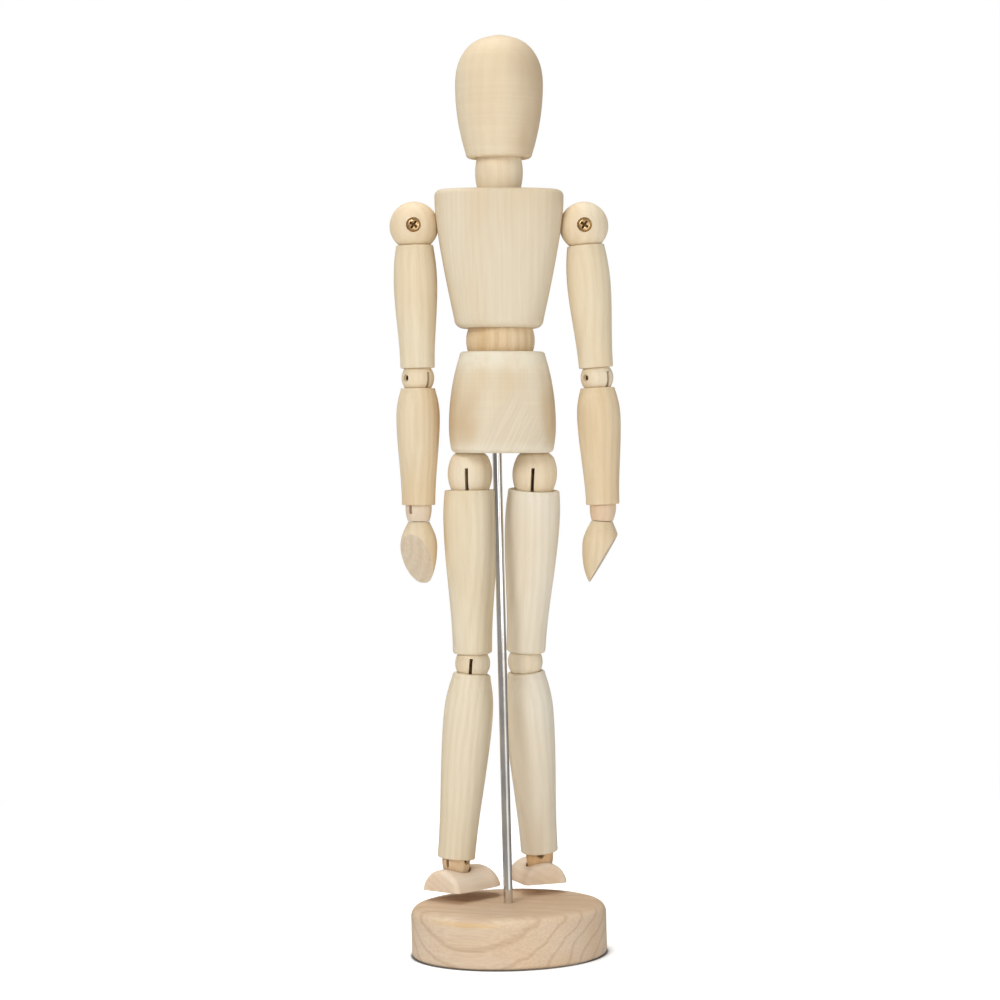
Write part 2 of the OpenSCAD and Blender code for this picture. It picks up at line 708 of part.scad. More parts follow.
module upper_arm(side) {
    length = upper_arm_length - shoulder_rim - elbow_rim;
    color(pale_wood) at(upper_arm_at(side)) difference() {
        turned(limb_outline(shoulder_rim, length, shoulder_end_radius, upper_arm_radius,
            elbow_end_radius, length * 0.3, end_round, end_round));
        sphere(shoulder_radius + cup_gap);
        translate([0, 0, -upper_arm_length]) sphere(elbow_radius + cup_gap);
        bar_z(bore_r, -upper_arm_length, 0);
    }
}

module upper_arm_spring(side) {
    color(steel) stem_spring(upper_arm_at(side) * turn_z(90), upper_arm_at(side), 90, 8,
        shoulder_radius, upper_arm_length, elbow_radius);
}

module elbow_ball(side) {
    top = elbow_radius * 0.96;
    color(pale_wood) difference() {
        at(elbow_at(side)) difference() {
            turned(ball_outline(elbow_radius, elbow_radius, far, -top, top));
            saw_cut(-far, kerf_reach, -far, far);
            bar_x(pin_r + run_gap, -far, elbow_radius - pin_blind);
            bar_x(plug_r, -far, -elbow_radius + plug_depth);
        }
        at(elbow_top(side)) stem_hole(elbow_radius);
    }
}

module elbow_fittings(side) {
    color(steel) {
        at(elbow_at(side))
            bar_x(pin_r, -elbow_radius + plug_depth - pin_show, elbow_radius - pin_blind - end_gap);
        at(elbow_top(side)) stem(elbow_radius);
    }
}

module forearm(side) {
    length = forearm_length - elbow_rim - wrist_rim;
    color(pale_wood) at(forearm_at(side)) difference() {
        turned(limb_outline(elbow_rim, length, elbow_end_radius, forearm_radius,
            wrist_end_radius, length * 0.24, end_round, end_round));
        sphere(elbow_radius + cup_gap);
        translate([0, 0, -forearm_length]) sphere(wrist_radius + cup_gap);
        bar_z(bore_r, -forearm_length, 0);
    }
}

module forearm_spring(side) {
    color(steel) eye_spring(elbow_at(side), forearm_at(side), elbow_turn, 8,
        elbow_radius, forearm_length, wrist_radius, wrist_hook(side), wrist_turn(side));
}

module wrist_ball(side) {
    top = wrist_radius * 0.96;
    color(warm_wood) difference() {
        at(wrist_at(side)) difference() {
            turned(footed_outline(wrist_radius, wrist_bulge, wrist_foot, top));
            saw_cut(-kerf_reach, far, -far, far);
            bar_x(pin_r + run_gap, -far, wrist_radius - pin_blind);
            bar_z(tenon_r + run_gap, -far, -wrist_foot + tenon + end_gap);
        }
    }
}

module wrist_pin(side) {
    color(steel) at(wrist_at(side))
        bar_x(pin_r, -wrist_radius + pin_inset, wrist_radius - pin_blind - end_gap);
}

// turned egg with a tenon on top and one flat slanting side
module hand(side) {
    r = hand_diameter / 2;
    neck = 3.55;
    belly = 8;
    steps = 14;
    tip_over = 1.4;
    whole = hand_length + tip_over;
    cut_in = 0.4;
    cut_down = 3.4;
    cut_start = 8;
    color(pale_wood) at(hand_at(side)) translate([0, 0, -wrist_foot - cup_gap]) difference() {
        union() {
            turned(concat([[0, 0]],
                [for (i = [0:steps]) let (u = i / steps) [neck + (r - neck) * sin(90 * u), -belly * u]],
                [for (i = [1:steps]) let (a = 88 * i / steps)
                    [r * cos(a), -belly - (whole - belly) * sin(a)]],
                [[0, -whole]]));
            bar_z(tenon_r, -1, tenon);
        }
        translate([0, -r + cut_in, -cut_down]) rotate([hand_cut, 0, 0])
            translate([-far / 2, -far, -far + cut_start]) cube(far);
    }
}

// legs
module hip_ball(side) {
    top = hip_cup * 0.96;
    color(pale_wood) difference() {
        at(hip_at(side)) difference() {
            turned(ball_outline(hip_cup, hip_radius, barrel_bulge, -top, top));
            saw_cut(-far, kerf_reach, -far, far);
            bar_x(pin_r + run_gap, -far, hip_radius - pin_blind);
        }
        at(hip_top(side) * turn_z(hole_turn)) stem_hole(hip_cup);
    }
}

module hip_fittings(side) {
    color(steel) {
        at(hip_at(side)) bar_x(pin_r, -hip_radius + pin_inset, hip_radius - pin_blind - end_gap);
        at(hip_top(side)) stem(hip_cup);
    }
}

module thigh(side) {
    length = thigh_length - hip_rim - knee_rim;
    color(pale_wood) at(thigh_at(side)) difference() {
        turned(limb_outline(hip_rim, length, hip_end_radius, thigh_radius,
            knee_end_radius, length * 0.17, end_round, knee_round));
        sphere(hip_cup + cup_gap);
        translate([0, 0, -thigh_length]) sphere(knee_radius + cup_gap);
        bar_z(bore_r, -thigh_length, 0);
    }
}

module thigh_spring(side) {
    color(steel) stem_spring(thigh_at(side) * turn_z(hip_turn(side)), thigh_at(side), hip_turn(side), 9,
        hip_cup, thigh_length, knee_radius);
}

module knee_ball(side) {
    top = knee_radius * 0.96;
    front = side_of(side, -far, -blind_cut);
    color(pale_wood) difference() {
        at(knee_at(side)) difference() {
            turned(ball_outline(knee_radius, knee_radius, far, -top, top));
            saw_cut(-far, kerf_reach, front, far);
            bar_x(pin_r + run_gap, -far, knee_radius - pin_blind);
        }
        at(knee_top(side)) stem_hole(knee_radius);
    }
}

module knee_fittings(side) {
    color(steel) {
        at(knee_at(side)) bar_x(pin_r, -knee_radius + pin_inset, knee_radius - pin_blind - end_gap);
        at(knee_top(side)) stem(knee_radius);
    }
}

module shin(side) {
    length = shin_length - knee_rim - ankle_rim;
    color(pale_wood) at(shin_at(side)) difference() {
        turned(limb_outline(knee_rim, length, knee_end_radius - 0.2, shin_radius,
            ankle_end_radius, length * 0.23, knee_round, end_round));
        sphere(knee_radius + cup_gap);
        translate([0, 0, -shin_length]) sphere(ankle_radius + cup_gap);
        bar_z(bore_r, -shin_length, 0);
    }
}

module shin_spring(side) {
    color(steel) eye_spring(shin_at(side) * turn_z(knee_turn(side)), shin_at(side), knee_turn(side), 9,
        knee_radius, shin_length, ankle_radius, ankle_at(side), ankle_turn(side));
}

module ankle_ball(side) {
    top = ankle_radius * 0.96;
    color(warm_wood) at(ankle_at(side)) difference() {
        union() {
            turned(footed_outline(ankle_radius, wrist_bulge, ankle_foot, top));
            bar_z(tenon_r, -ankle_foot - tenon, -ankle_foot + 1);
        }
        saw_cut(-kerf_reach, far, -far, far);
        bar_x(pin_r + run_gap, -ankle_radius + pin_blind, far);
        bar_x(plug_r, ankle_radius - plug_depth, far);
    }
}

module ankle_pin(side) {
    color(steel) at(ankle_at(side))
        bar_x(pin_r, -ankle_radius + pin_blind + end_gap, ankle_radius - plug_depth + pin_show);
}

// half of a turned loaf: flat end forward, round end behind, flat sole
module foot(side) {
    ahead = side_of(side, right_foot_ahead, left_foot_ahead);
    half = side_of(side, right_foot_half, left_foot_half);
    foot_radius = (foot_height * foot_height + half * half) / (2 * foot_height);
    sole_cut = foot_radius - foot_height;
    face_inset = 0.2;
    flat_r = foot_radius - face_inset;
    c = 1.7;
    dome = 9;
    color(pale_wood) at(foot_at(side)) translate([0, -ahead, -ankle_height]) difference() {
        translate([0, 0, -sole_cut]) rotate([-90, 0, 0]) turned(concat([[0, 0]],
            [for (a = [-90:22.5:-22.5]) [flat_r - c + c * cos(a), c + c * sin(a)]],
            [for (i = [0:8]) let (u = i / 8)
                [flat_r + (foot_radius - flat_r) * sin(90 * u), c + (foot_length - dome - c) * u]],
            [for (i = [1:10]) let (a = 88 * i / 10)
                [foot_radius * cos(a), foot_length - dome + dome * sin(a)]],
            [[0, foot_length]]));
        translate([-far / 2, -far / 2, -far]) cube(far);
        translate([0, ahead, ankle_height]) {
            bar_z(tenon_r + run_gap, -ankle_foot - tenon - end_gap, 0);
            bar_z(ankle_radius + cup_gap, -ankle_foot - cup_gap, far);
        }
    }
}

module right_shoulder_ball() shoulder_ball(RIGHT);
module left_shoulder_ball() shoulder_ball(LEFT);
module right_upper_arm() upper_arm(RIGHT);
module left_upper_arm() upper_arm(LEFT);
module right_elbow_ball() elbow_ball(RIGHT);
module left_elbow_ball() elbow_ball(LEFT);
module right_forearm() forearm(RIGHT);
module left_forearm() forearm(LEFT);
module right_wrist_ball() wrist_ball(RIGHT);
module left_wrist_ball() wrist_ball(LEFT);
module right_hand() hand(RIGHT);
module left_hand() hand(LEFT);
module right_hip_ball() hip_ball(RIGHT);
module left_hip_ball() hip_ball(LEFT);
module right_thigh() thigh(RIGHT);
module left_thigh() thigh(LEFT);
module right_knee_ball() knee_ball(RIGHT);
module left_knee_ball() knee_ball(LEFT);
module right_shin() shin(RIGHT);
module left_shin() shin(LEFT);
module right_ankle_ball() ankle_ball(RIGHT);
module left_ankle_ball() ankle_ball(LEFT);
module right_foot() foot(RIGHT);
module left_foot() foot(LEFT);
module right_shoulder_fittings() shoulder_fittings(RIGHT);
module left_shoulder_fittings() shoulder_fittings(LEFT);
module right_elbow_fittings() elbow_fittings(RIGHT);
module left_elbow_fittings() elbow_fittings(LEFT);
module right_wrist_pin() wrist_pin(RIGHT);
module left_wrist_pin() wrist_pin(LEFT);
module right_hip_fittings() hip_fittings(RIGHT);
module left_hip_fittings() hip_fittings(LEFT);
module right_knee_fittings() knee_fittings(RIGHT);
module left_knee_fittings() knee_fittings(LEFT);
module right_ankle_pin() ankle_pin(RIGHT);
module left_ankle_pin() ankle_pin(LEFT);
module right_upper_arm_spring() upper_arm_spring(RIGHT);
module left_upper_arm_spring() upper_arm_spring(LEFT);
module right_forearm_spring() forearm_spring(RIGHT);
module left_forearm_spring() forearm_spring(LEFT);
module right_thigh_spring() thigh_spring(RIGHT);
module left_thigh_spring() thigh_spring(LEFT);
module right_shin_spring() shin_spring(RIGHT);
module left_shin_spring() shin_spring(LEFT);

base();
support_rod();
pelvis();
waist_ball();
chest();
neck_ball();
head();
right_shoulder_ball();
left_shoulder_ball();
right_upper_arm();
left_upper_arm();
right_elbow_ball();
left_elbow_ball();
right_forearm();
left_forearm();
right_wrist_ball();
left_wrist_ball();
right_hand();
left_hand();
right_hip_ball();
left_hip_ball();
right_thigh();
left_thigh();
right_knee_ball();
left_knee_ball();
right_shin();
left_shin();
right_ankle_ball();
left_ankle_ball();
right_foot();
left_foot();
right_shoulder_fittings();
left_shoulder_fittings();
right_elbow_fittings();
left_elbow_fittings();
right_wrist_pin();
left_wrist_pin();
right_hip_fittings();
left_hip_fittings();
right_knee_fittings();
left_knee_fittings();
right_ankle_pin();
left_ankle_pin();
waist_fittings();
neck_fittings();
waist_eye();
head_eye();
chest_cross_pin();
pelvis_cross_pin();
shoulder_spring();
spine_spring();
hip_springs();
right_upper_arm_spring();
left_upper_arm_spring();
right_forearm_spring();
left_forearm_spring();
right_thigh_spring();
left_thigh_spring();
right_shin_spring();
left_shin_spring();
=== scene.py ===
# %% [markdown]
# # A jointed wooden drawing figure
#
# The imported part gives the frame: where every piece sits, which body it rides on and where the joints are.
# This lesson turns that frame into something that looks like wood and steel. Each turned piece is measured
# on its CAD node, drawn again as a finer smooth solid, and given grain of its own. The CAD meshes could be
# shaded as they are, but their flat facets would show along every limb.

# %% The frame
import json
import math
import random

import bmesh
import bpy
from mathutils import Matrix, Vector
from mathutils.bvhtree import BVHTree


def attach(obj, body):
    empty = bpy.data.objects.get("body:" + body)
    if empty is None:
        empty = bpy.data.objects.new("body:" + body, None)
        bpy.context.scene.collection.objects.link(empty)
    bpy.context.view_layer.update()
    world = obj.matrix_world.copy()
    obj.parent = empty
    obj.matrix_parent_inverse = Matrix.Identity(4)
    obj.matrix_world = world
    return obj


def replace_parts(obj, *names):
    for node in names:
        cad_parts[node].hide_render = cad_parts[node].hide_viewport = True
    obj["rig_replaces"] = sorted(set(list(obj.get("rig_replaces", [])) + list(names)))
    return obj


MM = 0.001
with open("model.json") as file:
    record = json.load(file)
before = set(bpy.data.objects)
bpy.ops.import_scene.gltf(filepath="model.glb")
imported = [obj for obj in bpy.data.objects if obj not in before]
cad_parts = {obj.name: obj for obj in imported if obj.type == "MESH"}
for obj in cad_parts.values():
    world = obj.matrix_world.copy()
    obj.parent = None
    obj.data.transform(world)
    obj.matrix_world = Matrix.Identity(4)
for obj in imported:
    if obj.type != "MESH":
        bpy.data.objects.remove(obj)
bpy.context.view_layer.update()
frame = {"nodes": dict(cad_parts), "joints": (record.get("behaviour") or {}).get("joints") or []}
joints = {j["name"]: j for j in frame["joints"]}

# %% [markdown]
# ## Frames
#
# The figure's limbs hang at a slant, and a slanted shape is hard to draw. So a piece is drawn upright,
# in millimetres, in a frame of its own with z along the piece, and is then laid in the row frame.
# The joints give the points: an upper arm runs from the shoulder's point to the elbow's.

# %% Frames along the pieces
SIDES = ("right", "left")


def point(joint):
    return Vector(joints[joint]["pos_m"])


def axis(joint):
    return Vector(joints[joint]["axis"]).normalized()


def frame_at(origin, along, across=(1, 0, 0)):
    """A frame in the row frame with its z along the piece and its x as near to across as it can be."""
    z = Vector(along).normalized()
    x = Vector(across) - z * Vector(across).dot(z)
    x.normalize()
    turn = Matrix((x, z.cross(x), z)).transposed().to_4x4()
    return Matrix.Translation(origin) @ turn @ Matrix.Scale(MM, 4)


for side in SIDES:
    arm = (point(f"{side}_elbow_bend") - point(f"{side}_arm_raise")).length / MM
    leg = (point(f"{side}_knee_bend") - point(f"{side}_hip_bend")).length / MM
    print(side, "upper arm", round(arm, 2), "mm, thigh", round(leg, 2), "mm")

# %% [markdown]
# ## Measuring the CAD skin
#
# Rays cast at a CAD node from outside give the distance of its skin from the piece's own line. A chain of
# these distances is the outline to turn. Averaging each with its neighbours takes out the small steps. The
# outlines could be typed in as numbers, but measured ones follow the part when one of its sizes changes.

# %% A CAD node's skin
FAR = 200.0
AROUND = range(20, 360, 45)
NO_AREA = 1e-9
SAME_WAY_DIGITS, SAME_PLANE_DIGITS = 2, 1
ROD_BARE = 40.0


class Skin:
    """One CAD node's surface, in millimetres in the frame that is given."""

    def __init__(self, node, at):
        mesh = frame["nodes"][node].data
        back = at.inverted()
        self.points = [back @ v.co for v in mesh.vertices]
        self.faces = [tuple(p.vertices) for p in mesh.polygons]
        self.tree = BVHTree.FromPolygons(self.points, self.faces)
        self.low = min(p.z for p in self.points)
        self.high = max(p.z for p in self.points)

    def reach(self, turn, z, aside=0.0):
        """Distance of the skin from the line, at height z, in the direction turn, in degrees."""
        out = Vector((math.cos(math.radians(turn)), math.sin(math.radians(turn)), 0))
        start = out * FAR + Vector((-out.y, out.x, 0)) * aside + Vector((0, 0, z))
        hit = self.tree.ray_cast(start, -out)
        return None if hit[0] is None else FAR - hit[3]

    def radius(self, z, turns=AROUND):
        """The widest distance of the skin at height z, looked for in a few directions."""
        return max(r for r in (self.reach(t, z) for t in turns) if r is not None)

    def outline(self, low, high, count, turns=AROUND):
        """(radius, height) from low to high."""
        heights = [low + (high - low) * i / (count - 1) for i in range(count)]
        return [(self.radius(z, turns), z) for z in heights]

    def room(self, z):
        """Distance from the line out to the first wall, at height z: the radius of a hole."""
        return self.tree.ray_cast(Vector((0, 0, z)), Vector((1, 0, 0)))[3]

    def nearest(self, centre=(0, 0, 0)):
        """Distance from a point to the nearest corner of the mesh: a cup's radius from its middle."""
        return min((p - Vector(centre)).length for p in self.points)

    def flats(self):
        """The flat faces, largest first: (area, normal, a point on it)."""
        sums = {}
        for face in self.faces:
            a, b, c = (self.points[i] for i in face[:3])
            n = (b - a).cross(c - a)
            area = n.length / 2 * (len(face) - 2)
            if n.length < NO_AREA:
                continue
            n.normalize()
            key = (*(round(x, SAME_WAY_DIGITS) for x in n), round(n.dot(a), SAME_PLANE_DIGITS))
            area_now, _, spot = sums.get(key, (0.0, n, a))
            sums[key] = (area_now + area, n, spot)
        return sorted(sums.values(), key=lambda f: -f[0])


def relax(rows, passes):
    """Rows of (radius, height) with each radius drawn towards its neighbours; the ends stay."""
    radii = [r for r, _ in rows]
    for _ in range(passes):
        inner = [(a + 2 * b + c) / 4 for a, b, c in zip(radii, radii[1:], radii[2:])]
        radii = [radii[0], *inner, radii[-1]]
    return [(r, z) for r, (_, z) in zip(radii, rows)]


def arc(centre_r, centre_z, radius, start, end, steps):
    """Points on a circle in the outline's plane, angles in degrees."""
    angles = [math.radians(start + (end - start) * i / steps) for i in range(steps + 1)]
    return [(centre_r + radius * math.cos(a), centre_z + radius * math.sin(a)) for a in angles]


base_at = frame_at((0, 0, 0), (0, 0, 1))
rod_skin = Skin("support_rod", base_at)
rod_radius = rod_skin.radius(ROD_BARE)
print("rod", round(2 * rod_radius, 2), "mm thick, up to", round(rod_skin.high, 2), "mm")

# %% [markdown]
# ## Solids
#
# The maker turns most pieces on a lathe, then drills and saws them, and the helpers here do the same.
# `spun` turns an outline about z, `bar` and `ball` are the cutters, `carve` takes cutters away from a solid,
# and `slice_off` is the saw. The shapes could be sculpted, but a turned outline is exactly round.

# %% Turning, drilling and sawing
SPIN_STEPS, BAR_STEPS = 96, 48
BALL_AROUND, BALL_UP = 96, 64
WELD = 1e-4
MANY_CORNERS, EDGE_SEGMENTS = 8, 3


def spun(outline, closed=False, steps=SPIN_STEPS):
    """An outline of (radius, height) turned about z."""
    bm = bmesh.new()
    verts = [bm.verts.new((max(r, 0.0), 0, z)) for r, z in outline]
    chain = [*zip(verts, verts[1:])]
    if closed:
        chain.append((verts[-1], verts[0]))
    edges = [bm.edges.new(pair) for pair in chain]
    bmesh.ops.spin(bm, geom=verts + edges, cent=(0, 0, 0), axis=(0, 0, 1), angle=math.tau, steps=steps,
                   use_merge=True)
    bmesh.ops.remove_doubles(bm, verts=bm.verts[:], dist=WELD)
    bmesh.ops.recalc_face_normals(bm, faces=bm.faces[:])
    return bm


def bar(radius, start, end, steps=BAR_STEPS):
    """A round cutter from start to end."""
    bm = bmesh.new()
    start, end = Vector(start), Vector(end)
    way = end - start
    bmesh.ops.create_cone(bm, cap_ends=True, segments=steps, radius1=radius, radius2=radius, depth=way.length)
    bm.transform(Matrix.Translation((start + end) / 2) @ way.to_track_quat("Z", "Y").to_matrix().to_4x4())
    return bm


def ball(radius, centre=(0, 0, 0)):
    """A round-nosed cutter for a cup."""
    bm = bmesh.new()
    bmesh.ops.create_uvsphere(bm, u_segments=BALL_AROUND, v_segments=BALL_UP, radius=radius)
    bm.transform(Matrix.Translation(centre))
    return bm


def loose(bm, name):
    """A bmesh as an object in the scene, on no body."""
    mesh = bpy.data.meshes.new(name)
    bm.to_mesh(mesh)
    bm.free()
    obj = bpy.data.objects.new(name, mesh)
    bpy.context.scene.collection.objects.link(obj)
    return obj


def carve(bm, tools):
    """The solid less every tool."""
    work = loose(bm, "work")
    cutters = [loose(tool, "tool") for tool in tools]
    for cutter in cutters:
        cut = work.modifiers.new("cut", "BOOLEAN")
        cut.operation, cut.solver, cut.object = "DIFFERENCE", "EXACT", cutter
    mesh = bpy.data.meshes.new_from_object(work.evaluated_get(bpy.context.evaluated_depsgraph_get()))
    out = bmesh.new()
    out.from_mesh(mesh)
    for obj in (work, *cutters):
        old = obj.data
        bpy.data.objects.remove(obj)
        bpy.data.meshes.remove(old)
    bpy.data.meshes.remove(mesh)
    bmesh.ops.remove_doubles(out, verts=out.verts[:], dist=WELD)
    return out


def slice_off(bm, spot, normal, round_edge):
    """Cuts the solid flat, drops what lies beyond the plane, and rounds the new edge."""
    geom = bm.verts[:] + bm.edges[:] + bm.faces[:]
    cut = bmesh.ops.bisect_plane(bm, geom=geom, dist=WELD, plane_co=spot, plane_no=normal, clear_outer=True)
    rim = [e for e in cut["geom_cut"] if isinstance(e, bmesh.types.BMEdge)]
    bmesh.ops.edgeloop_fill(bm, edges=rim)
    bmesh.ops.recalc_face_normals(bm, faces=bm.faces[:])
    rim = [e for e in bm.edges
           if len(e.link_faces) == 2 and any(len(f.verts) > MANY_CORNERS for f in e.link_faces)]
    bmesh.ops.bevel(bm, geom=rim, offset=round_edge, offset_type="OFFSET", segments=EDGE_SEGMENTS,
                    profile=0.5, affect="EDGES", material=-1, clamp_overlap=True)
    return bm


print("a full turn has", SPIN_STEPS, "steps")

# %% [markdown]
# Every piece of the real figure is cut from another place in the plank, so no two show the same lines.
# `keep_piece` therefore stores a position for the grain in each mesh, shifted at random, lays the solid in
# the row frame and ties it to its CAD body. A random number per object could do it too, but the stored
# position also lets the grain run along a slanted limb.

# %% Keeping a piece
SHARP = math.radians(38)
MM3_IN_CM3 = 1000
GRAIN_SEED = 7
GRAIN_SHIFT = (25, 25, 400)
grain_dice = random.Random(GRAIN_SEED)
made = []


def keep_piece(bm, name, at, body, node, material, grain=Matrix.Identity(4), loose_grain=True):
    """The finished piece as an object: in place, smooth, with its own grain, riding its body."""
    mesh = bpy.data.meshes.new(name)
    bmesh.ops.recalc_face_normals(bm, faces=bm.faces[:])
    print(f"{name}: {len(bm.faces)} faces, {bm.calc_volume() / MM3_IN_CM3:.2f} cm3")
    bm.to_mesh(mesh)
    bm.free()
    shift = Vector([grain_dice.uniform(-most, most) for most in GRAIN_SHIFT])
    if not loose_grain:
        shift = Vector()
    mark = mesh.attributes.new("grain", "FLOAT_VECTOR", "POINT")
    for v, row in zip(mesh.vertices, mark.data):
        row.vector = grain @ v.co + shift
    mesh.transform(at)
    mesh.polygons.foreach_set("use_smooth", [True] * len(mesh.polygons))
    mesh.set_sharp_from_angle(angle=SHARP)
    mesh.materials.append(material)
    obj = bpy.data.objects.new(name, mesh)
    bpy.context.scene.collection.objects.link(obj)
    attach(obj, body)
    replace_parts(obj, node)
    made.append(obj)
    return obj


print("grain is shifted by up to", GRAIN_SHIFT, "mm")

# %% [markdown]
# ## Wood
#
# The figure is of a pale, close-grained wood with a dull sheen. A photograph of wood would be one way, but
# it repeats and shows its seams. So one node group draws the wood from a position in
# millimetres: wavy year rings round a far heart, fine fibres and short pores along z, and slow drifts of
# tone. It gives out a colour, a roughness and a height. First come short helpers that place and link nodes.

# %% Node helpers
def link(tree, a, b):
    tree.links.new(a, b)


def new_node(tree, kind, **values):
    node = tree.nodes.new(kind)
    for key, value in values.items():
        setattr(node, key, value)
    return node


def new_material(name):
    """A material with its node tree and its Principled shader."""
    mat = bpy.data.materials.new(name)
    mat.use_nodes = True
    return mat, mat.node_tree, mat.node_tree.nodes["Principled BSDF"]


def fill_socket(tree, socket, value):
    """A number or a colour is written into the socket; anything else is linked to it."""
    if isinstance(value, (int, float, tuple)):
        socket.default_value = value
    else:
        link(tree, value, socket)


def maths(tree, operation, a, b=None, c=None, clamp=False):
    node = new_node(tree, "ShaderNodeMath", operation=operation, use_clamp=clamp)
    for socket, value in zip(node.inputs, (a, b, c)):
        if value is not None:
            fill_socket(tree, socket, value)
    return node.outputs[0]


def stretched_noise(tree, vector, scale, detail=2.0, rough=0.5):
    """Noise with a size of its own along each axis; scale is in cycles a millimetre."""
    grow = new_node(tree, "ShaderNodeVectorMath", operation="MULTIPLY")
    link(tree, vector, grow.inputs[0])
    grow.inputs[1].default_value = scale
    noise = new_node(tree, "ShaderNodeTexNoise")
    link(tree, grow.outputs[0], noise.inputs["Vector"])
    for key, number in (("Scale", 1.0), ("Detail", detail), ("Roughness", rough)):
        noise.inputs[key].default_value = number
    return noise.outputs[0]


def spread(tree, value, low, high, out_low=0.0, out_high=1.0):
    """A soft step: out_low where the value is at low, out_high where it is at high."""
    node = new_node(tree, "ShaderNodeMapRange", interpolation_type="SMOOTHSTEP")
    link(tree, value, node.inputs["Value"])
    for key, number in (("From Min", low), ("From Max", high), ("To Min", out_low), ("To Max", out_high)):
        fill_socket(tree, node.inputs[key], number)
    return node.outputs[0]


def blend_colour(tree, share, a, b, kind="MIX"):
    """A Mix node for colours; its colour sockets are inputs 6 and 7 and output 2."""
    node = new_node(tree, "ShaderNodeMix", data_type="RGBA", blend_type=kind)
    for socket, value in ((node.inputs[0], share), (node.inputs[6], a), (node.inputs[7], b)):
        fill_socket(tree, socket, value)
    return node.outputs[2]


def split_axes(tree, where):
    """The three numbers of a position."""
    split = new_node(tree, "ShaderNodeSeparateXYZ")
    link(tree, where, split.inputs[0])
    return split.outputs


def object_mm(tree):
    """Object coordinates in millimetres."""
    grow = new_node(tree, "ShaderNodeVectorMath", operation="SCALE")
    link(tree, new_node(tree, "ShaderNodeTexCoord").outputs["Object"], grow.inputs[0])
    grow.inputs["Scale"].default_value = 1 / MM
    return grow.outputs[0]


def add_bump(tree, shader, height, strength, deep):
    """Lets a height tilt the shader's surface; deep is in millimetres."""
    bump = new_node(tree, "ShaderNodeBump")
    bump.inputs["Strength"].default_value = strength
    bump.inputs["Distance"].default_value = deep * MM
    link(tree, height, bump.inputs["Height"])
    link(tree, bump.outputs["Normal"], shader.inputs["Normal"])


def srgb(r, g, b):
    """A colour picked on a screen, as Blender's linear one, by the standard screen curve."""
    return (*(((c / 255 + 0.055) / 1.055) ** 2.4 for c in (r, g, b)), 1.0)


print("middle grey", [round(c, 3) for c in srgb(128, 128, 128)])

# %% [markdown]
# The group's year rings are circles round a heart that lies outside the piece, so they cross it as long
# lines. Two noises bend and shake them. Wave textures could draw rings too, but their lines stay too even
# for wood.

# %% The wood figure
# Sizes are in cycles a millimetre, twice across the grain and then along it.
BEND_SIZE, BEND_BY = (0.05, 0.05, 0.012), 9.0
SHAKE_SIZE, SHAKE_BY = (0.35, 0.35, 0.03), 1.1
HALF_RING = 0.5
FIBRE_SIZE, FIBRE_RANGE = (1.7, 1.7, 0.035), (0.3, 0.75)
PORE_SIZE, PORE_RANGE, PORE_DARK = (4.6, 4.6, 0.16), (0.62, 0.78), 0.8
DRIFT_SIZE, DRIFT_RANGE = (0.045, 0.045, 0.018), (0.36, 0.66)
WOOD_ROUGH, WOOD_ROUGH_MORE = 0.46, 0.16
FIBRE_HIGH = 0.5
GROUP_INPUTS = (("Position", "Vector"), ("Pale", "Color"), ("Dark", "Color"), ("Tint", "Color"),
                ("Ring spacing", "Float"), ("Ring edge", "Float"), ("Ring strength", "Float"),
                ("Fibre strength", "Float"), ("Drift", "Float"), ("Heart", "Vector"))
GROUP_OUTPUTS = (("Color", "Color"), ("Roughness", "Float"), ("Height", "Float"))


def year_rings(tree, place, given):
    """0 between the year rings, 1 on them, bent and shaken."""
    wander = new_node(tree, "ShaderNodeVectorMath", operation="ADD")
    link(tree, place, wander.inputs[0])
    link(tree, given["Heart"], wander.inputs[1])
    x, y, _ = split_axes(tree, wander.outputs[0])
    x2, y2 = maths(tree, "MULTIPLY", x, x), maths(tree, "MULTIPLY", y, y)
    from_heart = maths(tree, "SQRT", maths(tree, "ADD", x2, y2))
    bent = maths(tree, "MULTIPLY_ADD", stretched_noise(tree, place, BEND_SIZE), BEND_BY, from_heart)
    shaken = maths(tree, "MULTIPLY_ADD", stretched_noise(tree, place, SHAKE_SIZE), SHAKE_BY, bent)
    part = maths(tree, "FRACT", maths(tree, "DIVIDE", shaken, given["Ring spacing"]))
    return spread(tree, maths(tree, "PINGPONG", part, HALF_RING), given["Ring edge"], HALF_RING)


